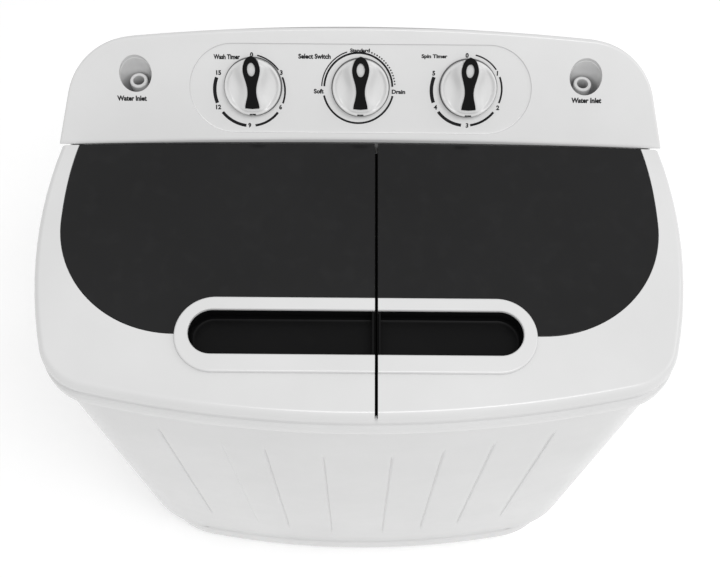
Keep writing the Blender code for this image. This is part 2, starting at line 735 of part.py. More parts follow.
def make_handle_trim(name, side):
    trim = prism(name, stadium(HANDLE_X, HANDLE_OUTER), LID_TOP + GAP, HANDLE_TOP, WHITE_PLASTIC)
    boolean(trim, prism(f"{name}_inner", stadium(HANDLE_X, HANDLE_INNER), 0.500, 0.620))
    return keep_lid_side(trim, side)


def make_handle_pocket(name, side):
    """The black finger pocket: a shallow tray closed at the split, hung in the lid under the trim."""
    pocket = prism(name, stadium(HANDLE_X, HANDLE_INNER, 0.0020), POCKET_FLOOR, LID_TOP, BLACK_PLASTIC)
    keep_lid_side(pocket, side, 0.0006)
    hollow = prism(f"{name}_hollow", stadium(HANDLE_X, HANDLE_INNER, 0.0002), POCKET_FLOOR + 0.0016, 0.620)
    keep_lid_side(hollow, side, 0.0024)
    return boolean(pocket, hollow)


def make_lid(side):
    frame = make_lid_frame(f"{side}_lid_frame", side)
    window = make_lid_window(f"{side}_lid_window", side)
    trim = make_handle_trim(f"{side}_lid_handle_trim", side)
    pocket = make_handle_pocket(f"{side}_lid_handle_pocket", side)
    hinge = pivot(f"{side}_lid_hinge_axis", (0.0, HINGE_Y, HINGE_Z))
    hang_on(hinge, frame, window, trim, pocket)


# ---- Wash side ----
def make_wash_tub():
    width, depth, radius = WASH_OPENING
    rings = []
    for z, shrink in ((WASH_TUB_FLOOR, 0.030), (0.240, 0.020), (0.252, 0.015), (0.5569, 0.0)):
        outline = rounded_rectangle(WASH_CENTRE, width - shrink, depth - shrink, radius - shrink / 3, 6)
        rings.append(at_height(outline, z))
    flange = rounded_rectangle(WASH_CENTRE, width + 0.010, depth + 0.010, radius + 0.005, 6)
    rings.append(at_height(flange, 0.5570))
    tub = loft("wash_tub", rings, PALE_PLASTIC, caps=False)
    bm = bmesh.new()
    bm.from_mesh(tub.data)
    bm.verts.ensure_lookup_table()
    bm.faces.new(list(reversed(bm.verts[: len(rings[0])])))
    bm.to_mesh(tub.data)
    bm.free()
    wall = tub.modifiers.new("wall", "SOLIDIFY")
    wall.thickness = TUB_WALL
    wall.offset = 1.0
    centre = Vector((*WASH_CENTRE, 0.0))
    low, high = Vector((0, 0, 0.220)), Vector((0, 0, 0.240))
    boolean(tub, rod("wash_tub_bearing_hole", centre + low, centre + high, 0.0162, segments=24))
    drain = Vector((*DRAIN_CENTRE, 0.0))
    boolean(tub, rod("wash_tub_drain_hole", drain + low, drain + high, 0.0085, segments=20))
    return tub


def make_pulsator():
    """A dished disc with four swept fins, in the middle of the wash tub's floor."""
    r = PULSATOR_RADIUS
    low = WASH_TUB_FLOOR + 0.0035
    profile = [
        (0.0, 0.0260), (0.012, 0.0250), (0.020, 0.0160), (0.040, 0.0085), (r - 0.006, 0.0065), (r, 0.0040),
        (r, 0.0010), (r - 0.003, 0.0), (0.0056, 0.0), (0.0056, 0.0100), (0.0, 0.0100),
    ]
    pulsator = turned("pulsator", profile, (*WASH_CENTRE, low), PALE_PLASTIC, 28)
    for i in range(4):
        fin = loft(f"pulsator_fin_{i}", [
            [(0.010, -0.005, 0.006), (0.070, -0.0035, 0.005), (0.070, 0.0035, 0.005), (0.010, 0.005, 0.006)],
            [(0.010, -0.003, 0.0225), (0.066, -0.0015, 0.0125), (0.066, 0.0015, 0.0125), (0.010, 0.003, 0.0225)],
        ])
        fin.location = (*WASH_CENTRE, low)
        fin.rotation_euler = (0.0, 0.0, math.radians(90 * i + 20))
        boolean(pulsator, fin, "UNION")
    return pulsator


def make_wash_drive():
    x, y = WASH_CENTRE
    housing = [
        (0.0158, 0.2350), (0.0158, 0.2292), (0.024, 0.2292), (0.024, 0.2252), (0.013, 0.2232), (0.013, 0.188),
        (0.0056, 0.188), (0.0056, 0.2350),
    ]
    turned("pulsator_bearing_housing", housing, (x, y, 0.0), GREY_PLASTIC, 18, closed=True)
    shaft = rod("pulsator_shaft", (x, y, 0.1500), (x, y, 0.2448), 0.0050, STEEL, 16)
    pulley_profile = ring_profile(DRIVEN_PULLEY_RADIUS, 0.0054, PULLEY_LOW, PULLEY_HIGH)
    pulley = turned("pulsator_pulley", pulley_profile, (x, y, 0.0), ALUMINIUM, 32, closed=True)
    pulsator = make_pulsator()
    hang_on(pivot("pulsator_axis", (x, y, PULLEY_LOW)), pulsator, shaft, pulley)
    make_wash_motor()
    make_drive_belt()


def make_wash_motor():
    x, y = WASH_MOTOR_CENTRE
    profile = [
        (0.0, 0.150), (0.030, 0.150), (0.034, 0.144), (0.048, 0.140), (0.048, 0.080), (0.034, 0.076),
        (0.030, 0.0700), (0.0, 0.0700),
    ]
    turned("wash_motor", profile, (x, y, 0.0), GREY_METAL, 22)
    bracket = box("wash_motor_bracket", (x - 0.058, y - 0.050, 0.0113), (x + 0.058, y + 0.050, 0.0140), STEEL)
    for side in (-1, 1):
        cheek_x = x + side * 0.0535
        low = (cheek_x - 0.0015, y - 0.018, 0.0125)
        cheek = box(f"wash_motor_cheek_{side}", low, (cheek_x + 0.0015, y + 0.018, 0.1200))
        boolean(bracket, cheek, "UNION")
    shelf = box("wash_motor_shelf", (x - 0.054, y - 0.018, 0.0660), (x + 0.054, y + 0.018, 0.0690))
    boolean(bracket, shelf, "UNION")
    pulley_profile = [
        (0.0, PULLEY_HIGH), (MOTOR_PULLEY_RADIUS, PULLEY_HIGH), (MOTOR_PULLEY_RADIUS, PULLEY_LOW),
        (0.0050, PULLEY_LOW), (0.0050, 0.1503), (0.0, 0.1503),
    ]
    pulley = turned("wash_motor_pulley", pulley_profile, (x, y, 0.0), ALUMINIUM, 24)
    hang_on(pivot("wash_motor_axis", (x, y, PULLEY_LOW)), pulley)


def belt_outline(grow):
    """Round both pulleys with straight runs between them, grown outwards."""
    big, small = Vector(WASH_CENTRE), Vector(WASH_MOTOR_CENTRE)
    line = small - big
    heading = angle_of(line)
    lean = math.degrees(math.acos((DRIVEN_PULLEY_RADIUS - MOTOR_PULLEY_RADIUS) / line.length))
    wrap = arc(small, MOTOR_PULLEY_RADIUS + grow, heading - lean, heading + lean, 8)
    return wrap + arc(big, DRIVEN_PULLEY_RADIUS + grow, heading + lean, heading + 360.0 - lean, 24)


def make_drive_belt():
    belt = prism("drive_belt", belt_outline(0.0048), 0.161, 0.169, BLACK_RUBBER)
    boolean(belt, prism("drive_belt_inner", belt_outline(0.0004), 0.150, 0.180))
    return belt


def make_drain_valve():
    x, y = DRAIN_CENTRE
    floor = 0.185
    profile = [
        (0.0150, 0.2292), (0.0150, floor), (0.0028, floor), (0.0028, floor + 0.003), (0.0120, floor + 0.003),
        (0.0120, 0.2292),
    ]
    body = turned("drain_valve_body", profile, (x, y, 0.0), GREY_PLASTIC, 18, closed=True)
    profile = [
        (0.0, 0.2285), (0.0112, 0.2285), (0.0112, 0.2235), (0.0022, 0.2225), (0.0022, 0.1720), (0.0, 0.1720)
    ]
    plunger = turned("drain_valve_plunger", profile, (x, y, 0.0), BLACK_RUBBER, 16)
    hang_on(pivot("drain_valve_axis", (x, y, 0.1720)), plunger)
    make_drain_duct(x, y)
    return body


def make_drain_duct(x, y):
    """The inner drain hose, from the side of the valve to the back of the spigot."""
    start, end = Vector((x, y + 0.0156, 0.200)), Vector((-0.200, CASING_REAR - 0.0268, 0.090))
    straight = Vector((0.0, 0.004, 0.0))
    bends = [start + straight, Vector((x, y + 0.045, 0.200)), Vector((-0.211, 0.100, 0.145))]
    bends += [Vector((-0.200, 0.108, 0.090)), end - straight]
    data = bpy.data.curves.new("inner_drain_hose", "CURVE")
    data.dimensions = "3D"
    spline = data.splines.new("POLY")
    points = [tuple(start)] + smooth_route(bends, 14) + [tuple(end)]
    spline.points.add(len(points) - 1)
    for point, place in zip(spline.points, points):
        point.co = (*place, 1.0)
    data.bevel_depth = 0.0100
    data.bevel_resolution = 2
    data.use_fill_caps = True
    data.materials.append(BLACK_RUBBER)
    hose = bpy.data.objects.new("inner_drain_hose", data)
    PARTS.objects.link(hose)
    return hose


def smooth_route(bends, steps):
    """Points on the Bezier curve that the bends control."""
    points = []
    for i in range(steps + 1):
        row = [bend.copy() for bend in bends]
        share = i / steps
        while len(row) > 1:
            row = [a.lerp(b, share) for a, b in zip(row, row[1:])]
        points.append(tuple(row[0]))
    return points


def make_lint_filter():
    """A basket frame that hooks on the wash tub's right wall and lifts off."""
    wall_x = WASH_CENTRE[0] + WASH_OPENING[0] / 2
    y = WASH_CENTRE[1]
    low, high = (wall_x - 0.0260, y - 0.042, 0.405), (wall_x - 0.0075, y + 0.042, 0.520)
    trap = box("lint_filter", low, high, PALE_PLASTIC)
    mouth = box("lint_filter_mouth", (low[0] - 0.01, low[1] + 0.005, 0.430), (high[0] - 0.003, high[1] - 0.005, 0.514))
    boolean(trap, mouth)
    hang_on(pivot("lint_filter_slide", (high[0], y, low[2])), trap)
    return trap


# ---- Spin side ----
def make_spin_tub():
    r, low = SPIN_TUB_RADIUS, SPIN_TUB_FLOOR
    top = PLATE_UNDERSIDE - GAP
    profile = [
        (r + 0.0035, top), (r + 0.0035, top - TUB_WALL), (r, top - TUB_WALL), (r, low + 0.008), (r - 0.008, low),
        (0.0220, low), (0.0220, low + TUB_WALL), (r - 0.009, low + TUB_WALL), (r - TUB_WALL, low + 0.009),
        (r - TUB_WALL, top),
    ]
    return turned("spin_outer_tub", profile, (*SPIN_CENTRE, 0.0), PALE_PLASTIC, 32, closed=True)


def make_spin_seal():
    """The bellows seal between the spin tub's floor and the shaft."""
    low = SPIN_TUB_FLOOR
    outer = [(0.0215, low + 0.004), (0.0215, low - 0.0005), (0.0300, low - 0.0005), (0.0300, low - 0.004)]
    outer += [(0.0200, low - 0.008), (0.0260, low - 0.014), (0.0160, low - 0.020), (0.0130, low - 0.030)]
    inner = [(0.0088, low - 0.030), (0.0120, low - 0.018), (0.0215, low - 0.0125), (0.0165, low - 0.006), (0.0180, low + 0.004)]
    return turned("spin_seal", outer + inner, (*SPIN_CENTRE, 0.0), BLACK_RUBBER, 16, closed=True)


def make_spin_basket():
    r, low, top = BASKET_RADIUS, BASKET_FLOOR, BASKET_TOP
    wall = 0.0022
    profile = [
        (r + 0.006, top), (r + 0.006, top - 0.020), (r, top - 0.024), (r, low + 0.012), (r - 0.012, low),
        (0.0086, low), (0.0086, low + 0.036), (0.016, low + 0.036), (0.024, low + 0.008), (r - 0.014, low + 0.003),
        (r - wall, low + 0.013), (r - wall, top - 0.024), (r - 0.008, top - 0.018), (r - 0.008, top),
    ]
    return turned("spin_basket", profile, (*SPIN_CENTRE, 0.0), PALE_PLASTIC, 32, closed=True)


def make_pressing_plate():
    """The loose plate that holds the laundry down: it lifts out through the basket's mouth."""
    r = BASKET_RADIUS - 0.0105
    low = BASKET_FLOOR + 0.050
    profile = [
        (r - 0.004, 0.0042), (r, 0.0034), (r, 0.0), (r - 0.002, 0.0), (0.0130, 0.0), (0.0130, 0.0100),
        (0.0170, 0.0100), (0.0180, 0.0042),
    ]
    plate = turned("spin_pressing_plate", profile, (*SPIN_CENTRE, low), WHITE_PLASTIC, 28, closed=True)
    for i in range(6):
        angle = math.radians(60 * i + 37)
        x = SPIN_CENTRE[0] + 0.048 * math.cos(angle)
        y = SPIN_CENTRE[1] + 0.048 * math.sin(angle)
        boolean(plate, rod(f"pressing_plate_hole_{i}", (x, y, low - 0.01), (x, y, low + 0.02), 0.0115, segments=10))
    hang_on(pivot("pressing_plate_slide", (*SPIN_CENTRE, low)), plate)
    return plate


def make_spin_drive():
    x, y = SPIN_CENTRE
    basket = make_spin_basket()
    shaft = rod("spin_shaft", (x, y, 0.1505), (x, y, BASKET_FLOOR + 0.042), 0.0080, STEEL, 16)
    drum_profile = ring_profile(BRAKE_DRUM_RADIUS, 0.0084, 0.178, 0.206)
    drum = turned("brake_drum", drum_profile, (x, y, 0.0), GREY_METAL, 28, closed=True)
    hang_on(pivot("spin_axis", (x, y, 0.150)), basket, shaft, drum)
    motor_profile = [
        (0.0, 0.1500), (0.034, 0.1500), (0.040, 0.1430), (0.054, 0.1390), (0.054, 0.0800), (0.040, 0.0760),
        (0.034, 0.0690), (0.0, 0.0690),
    ]
    turned("spin_motor", motor_profile, (x, y, 0.0), GREY_METAL, 24)
    plate = prism("spin_motor_plate", circle((x, y), 0.064, 32), 0.0655, 0.0687, STEEL)
    for i in range(3):
        angle = math.radians(120 * i + 90)
        place = (x + 0.046 * math.cos(angle), y + 0.046 * math.sin(angle), 0.0)
        make_motor_mount(f"spin_motor_mount_{i + 1}", place)
    return plate


def make_motor_mount(name, place):
    """A rubber mount with a waist that carries the spin motor on the base tray."""
    profile = [
        (0.0, 0.0652), (0.012, 0.0652), (0.012, 0.058), (0.008, 0.048), (0.008, 0.030), (0.012, 0.020),
        (0.012, 0.0113), (0.0, 0.0113),
    ]
    return turned(name, profile, place, BLACK_RUBBER, 12)


def make_brake():
    """A bracket on the spin motor, and the lever that meets the brake drum when the spin lid is open."""
    x, y = SPIN_CENTRE
    px, py = BRAKE_PIVOT
    bracket = box("brake_bracket", (x + 0.014, y + 0.020, 0.1505), (px + 0.010, py + 0.010, 0.1530), STEEL)
    pin = rod("brake_bracket_pin", (px, py, 0.1515), (px, py, 0.2020), 0.0030, segments=12)
    boolean(bracket, pin, "UNION")
    lever = box("brake_lever", (x - 0.022, py - 0.0035, 0.1850), (px, py + 0.0035, 0.1980), STEEL)
    eye = rod("brake_lever_eye", (px, py, 0.1850), (px, py, 0.1980), 0.0070, segments=16)
    boolean(lever, eye, "UNION")
    pad = box("brake_lever_pad", (x - 0.014, py - 0.0058, 0.1850), (x + 0.014, py, 0.1980))
    boolean(lever, pad, "UNION")
    bore = rod("brake_lever_bore", (px, py, 0.1800), (px, py, 0.2020), 0.0034, segments=16)
    boolean(lever, bore)
    hang_on(pivot("brake_lever_axis", (px, py, 0.1915)), lever)


def build():
    make_outer_casing()
    make_base_tray()
    make_feet()
    make_service_panel()
    make_cord_gland()
    make_drain_spigot()
    make_top_deck()
    make_console_housing()
    make_console_back_cover()
    make_water_inlet("water_inlet_left", -1)
    make_water_inlet("water_inlet_right", 1)
    make_control("wash_timer", KNOB_X[0], ("wash_timer_knob", "wash_timer_pointer", "wash_timer_shaft"))
    make_control("selector", KNOB_X[1], ("selector_knob", "selector_pointer", "selector_shaft"))
    make_control("spin_timer", KNOB_X[2], ("spin_timer_knob", "spin_timer_pointer", "spin_timer_shaft"))
    make_switch_body("wash_timer_body", KNOB_X[0], 0.036)
    make_switch_body("selector_body", KNOB_X[1], 0.026)
    make_switch_body("spin_timer_body", KNOB_X[2], 0.036)
    make_lid("wash")
    make_lid("spin")
    make_wash_tub()
    make_wash_drive()
    make_drain_valve()
    make_lint_filter()
    make_spin_tub()
    make_spin_seal()
    make_spin_drive()
    make_pressing_plate()
    make_brake()


clear_scene()
PARTS = new_collection("twin_tub_washer")
CUTTERS = new_collection("cutters")
WHITE_PLASTIC = new_material("white_plastic", (0.82, 0.82, 0.82), 0.28)
PALE_PLASTIC = new_material("pale_plastic", (0.70, 0.72, 0.74), 0.40)
GREY_PLASTIC = new_material("grey_plastic", (0.30, 0.31, 0.32), 0.50)
BLACK_PLASTIC = new_material("black_plastic", (0.010, 0.010, 0.011), 0.30)
BLACK_GLOSS = new_material("black_gloss", (0.017, 0.017, 0.018), 0.15)
BLACK_RUBBER = new_material("black_rubber", (0.020, 0.020, 0.020), 0.80)
STEEL = new_material("steel", (0.60, 0.60, 0.61), 0.35, 1.0)
ALUMINIUM = new_material("aluminium", (0.78, 0.78, 0.79), 0.35, 1.0)
GREY_METAL = new_material("grey_metal", (0.28, 0.29, 0.30), 0.45, 0.6)
build()
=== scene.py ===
"""Looks of the twin tub washer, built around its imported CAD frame.

Units are metres. +Z is up, the front faces -Y, and the origin is at the middle of the footprint on the floor.
"""

import json
import math

import bmesh
import bpy
from mathutils import Matrix, Vector

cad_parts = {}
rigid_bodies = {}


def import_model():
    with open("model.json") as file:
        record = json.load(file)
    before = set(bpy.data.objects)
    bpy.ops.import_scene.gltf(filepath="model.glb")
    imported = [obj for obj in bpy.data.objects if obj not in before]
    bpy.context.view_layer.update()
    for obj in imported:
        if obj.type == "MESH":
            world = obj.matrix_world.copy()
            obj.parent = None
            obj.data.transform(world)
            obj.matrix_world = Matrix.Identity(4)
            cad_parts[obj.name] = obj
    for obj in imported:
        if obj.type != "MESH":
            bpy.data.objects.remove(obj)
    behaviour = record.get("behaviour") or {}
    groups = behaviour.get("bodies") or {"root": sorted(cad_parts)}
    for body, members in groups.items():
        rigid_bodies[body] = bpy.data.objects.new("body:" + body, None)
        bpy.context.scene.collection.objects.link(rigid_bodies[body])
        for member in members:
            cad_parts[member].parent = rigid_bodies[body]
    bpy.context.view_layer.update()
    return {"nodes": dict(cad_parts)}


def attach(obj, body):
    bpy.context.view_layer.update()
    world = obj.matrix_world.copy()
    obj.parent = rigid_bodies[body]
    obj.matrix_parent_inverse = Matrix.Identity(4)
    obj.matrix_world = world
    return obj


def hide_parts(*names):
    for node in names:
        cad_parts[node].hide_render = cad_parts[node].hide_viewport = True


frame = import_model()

# ---- Overall size and the curves of the plan outline, as in the CAD ----
HALF_WIDTH = 0.2975
FRONT = -0.1770
REAR = 0.180
FRONT_BOW_RADIUS = 1.12
SIDE_BOW_RADIUS = 0.42
RIM_CORNER = 0.055
REAR_CORNER = 0.035
GAP = 0.0003

# ---- Body ----
CASING_HALF_WIDTH_TOP = 0.2915
CASING_HALF_WIDTH_FOOT = 0.2825
CASING_FRONT_TOP = -0.1745
CASING_FRONT_FOOT = -0.1812
CASING_REAR = 0.1715
CASING_CORNER = 0.058
CASING_FOOT = 0.058
CASING_TOP = 0.5597
BASE_HALF_WIDTH = 0.276
BASE_FRONT = -0.1830
BASE_CORNER = 0.085
BASE_UNDERSIDE = 0.008
GROOVES = (
    (-0.1770, 1.0), (-0.1225, 0.35), (-0.0845, 1.0), (-0.0315, 1.0),
    (0.0315, 1.0), (0.0780, 1.0), (0.1225, 1.0), (0.1740, 1.0),
)
GROOVE_HALF_WIDTH = 0.0017
GROOVE_DEPTH = 0.0012
GROOVE_FAN = 0.05
GROOVE_SPAN_X = (0.0315, 0.1770)
GROOVE_TOP = (0.475, 0.035)
GROOVE_FOOT = (0.100, 0.045)
GROOVE_FADE = 0.020
CASING_WALL = 0.0022
CASING_TUCK_HEIGHT = 0.032
SERVICE_OPENING = ((-0.150, 0.160, 0.100), (0.150, 0.185, 0.270))
FOOT_X = 0.190
FOOT_Y = 0.115
PAST_SIDES = 0.300

# ---- Deck ----
RIM_TOP = 0.575
PLATE_TOP = 0.563
PLATE_UNDERSIDE = 0.560
RIM_WIDTH = 0.009
DECK_REAR_INSET = 0.0036
DECK_REAR_RECESS_Y = (0.0775, 0.0998)

# ---- Lids ----
LID_TOP = 0.5875
LID_LEDGE_TOP = 0.5842
LID_LEDGE_UNDERSIDE = 0.5815
LID_WALL = 0.0035
LID_INSET = 0.0024
LID_REAR_GAP = 0.0010
LID_SPLIT = 0.0155
LID_SPLIT_GAP = 0.0028
SPLIT_SHADE_THICKNESS = 0.0004
LID_REAR_INSET = 0.0046
LID_REAR_STEP_Y = 0.0795
HINGE_Y = 0.0825
HINGE_Z = 0.5785
HINGE_PIN_RADIUS = 0.0017
HINGE_BORE_RADIUS = 0.0021
HINGE_BOSS_RADIUS = 0.0034
HANDLE_X = -0.0025
HANDLE_OUTER = (0.317, 0.070, -0.0993)
HANDLE_INNER = (0.293, 0.0415, -0.0971)
HANDLE_TOP = 0.5910
HANDLE_HOLE_GROWTH = 0.0025
POCKET_FLOOR = 0.5690
WINDOW_REAR_CURVE = 0.0095

# ---- Console ----
CONSOLE_SLOPE = math.radians(40.0)
CONSOLE_EDGE_Y = 0.097
CONSOLE_EDGE_Z = 0.593
CONSOLE_EDGE_BOW = 0.0045
CONSOLE_EDGE_HALF = 0.2848
CONSOLE_LEAN = 0.24
CONSOLE_LENGTH = 0.103
CONSOLE_TOP_ARCH = 0.011
CONSOLE_CORNER = 0.068
CONSOLE_WALL = 0.003
CONSOLE_PLAN_HALF_WIDTH = 0.2955
CONSOLE_LIP_UNDERSIDE = 0.588
CONSOLE_FRONT_WALL_Y = 0.1005
CONSOLE_BOTTOM = RIM_TOP + GAP
BACK_COVER_THICKNESS = 0.0037
KNOB_X = (-0.100, 0.0, 0.100)
KNOB_S = 0.0485
LETTER_WEIGHT = 0.00048
PRINT_DEPTH = 0.00018
KNOB_RADIUS = 0.026
POINTER_TAIL = -0.0190
POINTER_TIP = 0.0289
POINTER_HEAD = 0.0165
POINTER_EYE = (0.0037, 0.0062, 0.0166)
DIAL_MIDDLES = ((-0.1032, 0.0448), (-0.0021, 0.0480), (0.0988, 0.0465))
DIAL_RADIUS = 0.0328
PANEL_RECESS = 0.0012
PANEL_HALF = 0.159
PANEL_LOW_S = 0.0060
PANEL_HIGH_S = 0.0875
INLET_X = 0.209
INLET_Y = 0.1455
INLET_POCKET = (0.0151, 0.0130)
INLET_POCKET_Y = 0.1427

# ---- Tubs ----
WASH_CENTRE = (-0.128, -0.029)
WASH_OPENING = (0.262, 0.214, 0.060)
SPIN_CENTRE = (0.147, -0.028)
SPIN_OPENING_RADIUS = 0.104
WASH_TUB_FLOOR = 0.232
TUB_WALL = 0.0025
DRAIN_CENTRE = (-0.222, 0.040)
PULSATOR_RADIUS = 0.076
BASKET_RADIUS = 0.092
BASKET_FLOOR = 0.288
BASKET_TOP = 0.522
BASKET_HOLE_ROWS = 7
BASKET_HOLE_COLUMNS = 18

# ---- Rear fittings ----
GLAND_X = 0.190
SPIGOT_X = -0.200
REAR_FITTING_Z = 0.090
SERVICE_PLATE = ((-0.162, 0.1718, 0.088), (0.162, 0.1743, 0.282))
SERVICE_SLOTS = 5
SERVICE_SLOT_FOOT = 0.138
SERVICE_SLOT_PITCH = 0.025
SERVICE_SCREW_X = 0.150
SERVICE_SCREW_Z = (0.098, 0.272)


# ---- Materials ----
def new_nodes(name):
    material = bpy.data.materials.new(name)
    material.use_nodes = True
    tree = material.node_tree
    shader = tree.nodes["Principled BSDF"]
    place = tree.nodes.new("ShaderNodeTexCoord")
    return material, tree, shader, place.outputs["Object"]


def noise(tree, place, scale, detail=4.0, stretch=None):
    """A noise pattern in object space, with features about 1/scale metres across."""
    if stretch is not None:
        mapping = tree.nodes.new("ShaderNodeMapping")
        mapping.inputs["Scale"].default_value = stretch
        tree.links.new(place, mapping.inputs["Vector"])
        place = mapping.outputs["Vector"]
    node = tree.nodes.new("ShaderNodeTexNoise")
    node.inputs["Scale"].default_value = scale
    node.inputs["Detail"].default_value = detail
    tree.links.new(place, node.inputs["Vector"])
    return node.outputs["Fac"]


def remap(tree, value, low, high, start=0.3, end=0.7):
    node = tree.nodes.new("ShaderNodeMapRange")
    node.inputs["From Min"].default_value = start
    node.inputs["From Max"].default_value = end
    node.inputs["To Min"].default_value = low
    node.inputs["To Max"].default_value = high
    tree.links.new(value, node.inputs["Value"])
    return node.outputs["Result"]


def mixed(tree, share, first, second):
    node = tree.nodes.new("ShaderNodeMix")
    node.data_type = "RGBA"
    tree.links.new(share, node.inputs[0])
    for socket, colour in ((node.inputs[6], first), (node.inputs[7], second)):
        if isinstance(colour, tuple):
            socket.default_value = (*colour, 1.0)
        else:
            tree.links.new(colour, socket)
    return node.outputs[2]


def scaled(colour, factor):
    return tuple(min(1.0, channel * factor) for channel in colour)


def surface(
    name, colour, roughness, metallic=0.0, grain=1400.0, grain_depth=0.05, worn=None,
    worn_share=0.10, variation=0.03, spread=0.06, stretch=None, specular=0.5,
):
    """A procedural finish: slow colour drift, patchy roughness, a fine grain, and a worn tint in blotches."""
    material, tree, shader, place = new_nodes(name)
    shader.inputs["Metallic"].default_value = metallic
    shader.inputs["Specular IOR Level"].default_value = specular
    drift = remap(tree, noise(tree, place, 9.0), 0.0, 1.0)
    base = mixed(tree, drift, scaled(colour, 1.0 - variation), scaled(colour, 1.0 + variation))
    wear = remap(tree, noise(tree, place, 60.0, 8.0), 0.0, worn_share, 0.52, 0.78)
    base = mixed(tree, wear, base, worn or scaled(colour, 0.72))
    tree.links.new(base, shader.inputs["Base Color"])
    patches = noise(tree, place, 26.0, 6.0, stretch)
    gloss = remap(tree, patches, roughness - spread / 2, roughness + spread)
    tree.links.new(gloss, shader.inputs["Roughness"])
    bump = tree.nodes.new("ShaderNodeBump")
    bump.inputs["Strength"].default_value = grain_depth
    bump.inputs["Distance"].default_value = 0.0004
    tree.links.new(noise(tree, place, grain, 2.0, stretch), bump.inputs["Height"])
    tree.links.new(bump.outputs["Normal"], shader.inputs["Normal"])
    return material


def painted_pocket_shade(material, foot, brow, shade_colour):
    """Paints shade into a finish: darker from the brow of a pocket down to its foot, as painted shade where
    little light reaches.
    """
    tree = material.node_tree
    shader = next(node for node in tree.nodes if node.type == "BSDF_PRINCIPLED")
    base = shader.inputs["Base Color"].links[0].from_socket
    place = tree.nodes.new("ShaderNodeTexCoord")
    split = tree.nodes.new("ShaderNodeSeparateXYZ")
    tree.links.new(place.outputs["Object"], split.inputs["Vector"])
    share = remap(tree, split.outputs["Z"], 1.0, 0.0, foot, brow)
    tree.links.new(mixed(tree, share, base, shade_colour), shader.inputs["Base Color"])
    return material


def brushed(name, colour, roughness, metallic=1.0):
    """Metal with fine marks drawn along Z."""
    return surface(
        name, colour, roughness, metallic, grain=260.0, grain_depth=0.10, worn=scaled(colour, 0.45),
        worn_share=0.35, variation=0.08, spread=0.14, stretch=(6.0, 6.0, 0.4),
    )


def gloss_white(name, tone, **wear):
    return surface(name, (tone, tone, tone), 0.21, grain=240.0, grain_depth=0.02, spread=0.04, **wear)


WHITE_SHELL = gloss_white("gloss_white_moulding", 0.652, worn=(0.615, 0.615, 0.61), worn_share=0.06)
SATIN_WHITE = surface(
    "satin_white_moulding", (0.632, 0.632, 0.632), 0.36, grain=1900.0, worn=(0.565, 0.563, 0.555),
)
DARK_WINDOW = surface(
    "smoked_window", (0.0120, 0.0120, 0.0124), 0.11, grain_depth=0.008, worn=(0.035, 0.035, 0.036),
    worn_share=0.12, variation=0.10, spread=0.05, specular=0.20,
)
BLACK_TRIM = surface(
    "black_trim_plastic", (0.0036, 0.0036, 0.0038), 0.34, grain=1800.0, grain_depth=0.08,
    worn=(0.012, 0.012, 0.012), variation=0.12, specular=0.11,
)
INK = surface(
    "printed_ink", (0.010, 0.010, 0.011), 0.60, grain=3000.0, grain_depth=0.05,
    worn=(0.05, 0.05, 0.05), variation=0.15, specular=0.10,
)
SHADOW_LINE = surface("grey_shadow_ring", (0.085, 0.086, 0.088), 0.50, grain=2200.0, variation=0.10)
TUB_PLASTIC = surface("pale_tub_plastic", (0.70, 0.73, 0.75), 0.34, worn=(0.60, 0.61, 0.60), worn_share=0.2)
GREY_PLASTIC = surface("grey_engineering_plastic", (0.17, 0.18, 0.19), 0.48, grain=900.0, grain_depth=0.15)
RUBBER = surface(
    "black_rubber", (0.018, 0.018, 0.018), 0.72, grain=700.0, grain_depth=0.25, worn=(0.07, 0.068, 0.064),
)
# Near-black for the sheet and strip at the lids' split: painted shade for the gap.
GAP_SHADE_BLACK = surface("gap_painted_shade_black", (0.006, 0.006, 0.006), 0.80, grain=900.0, grain_depth=0.1, specular=0.08)
# A darker copy of the gloss white for the casing and base: painted shade for their upright faces, which get
# less light.
CASING_WHITE_PAINTED_SHADE = gloss_white("gloss_white_casing_painted_shade", 0.600, worn=(0.560, 0.560, 0.555), worn_share=0.08)
# The fill cups' white, with painted shade that turns it darker down towards the pocket's foot.
INLET_WHITE_PAINTED_SHADE = painted_pocket_shade(
    gloss_white("inlet_cup_white_painted_shade", 0.672), foot=0.6010, brow=0.6168, shade_colour=(0.22, 0.22, 0.225),
)
STEEL = brushed("drawn_steel", (0.52, 0.52, 0.50), 0.30)
CAST_METAL = surface(
    "cast_aluminium", (0.60, 0.60, 0.59), 0.42, 1.0, grain=420.0, grain_depth=0.30, worn=(0.30, 0.30, 0.29),
    worn_share=0.4, variation=0.06, spread=0.16,
)
MOTOR_PAINT = surface(
    "motor_enamel", (0.085, 0.105, 0.120), 0.45, grain=500.0, grain_depth=0.2, worn=(0.20, 0.20, 0.19),
)
SLOT_FINISH = {
    "white_shell": WHITE_SHELL,
    "dark_window": DARK_WINDOW,
    "black_trim": BLACK_TRIM,
    "tub_plastic": TUB_PLASTIC,
    "grey_plastic": GREY_PLASTIC,
    "rubber": RUBBER,
    "steel": STEEL,
    "cast_metal": CAST_METAL,
    "motor_paint": MOTOR_PAINT,
}


def finish_cad_nodes():
    """Gives each CAD node that stays on show the detailed finish of its slot."""
    for obj in frame["nodes"].values():
        for slot in obj.material_slots:
            slot.material = SLOT_FINISH[slot.material.name]


# ---- Outlines ----
def arc(centre, radius, start, end, steps):
    """Points from the start angle to the end angle, both in degrees and both included."""
    points = []
    for i in range(steps + 1):
        angle = math.radians(start + (end - start) * i / steps)
        points.append((centre[0] + radius * math.cos(angle), centre[1] + radius * math.sin(angle)))
    return points


def circle(centre, radius, steps=72):
    return arc(centre, radius, 0.0, 360.0, steps)[:-1]


def rounded_rectangle(centre, width, depth, radius, steps=12):
    points = []
    for quarter, (sx, sy) in enumerate(((1, -1), (1, 1), (-1, 1), (-1, -1))):
        middle = (centre[0] + sx * (width / 2 - radius), centre[1] + sy * (depth / 2 - radius))
        points += arc(middle, radius, 90.0 * (quarter - 1), 90.0 * quarter, steps)
    return points


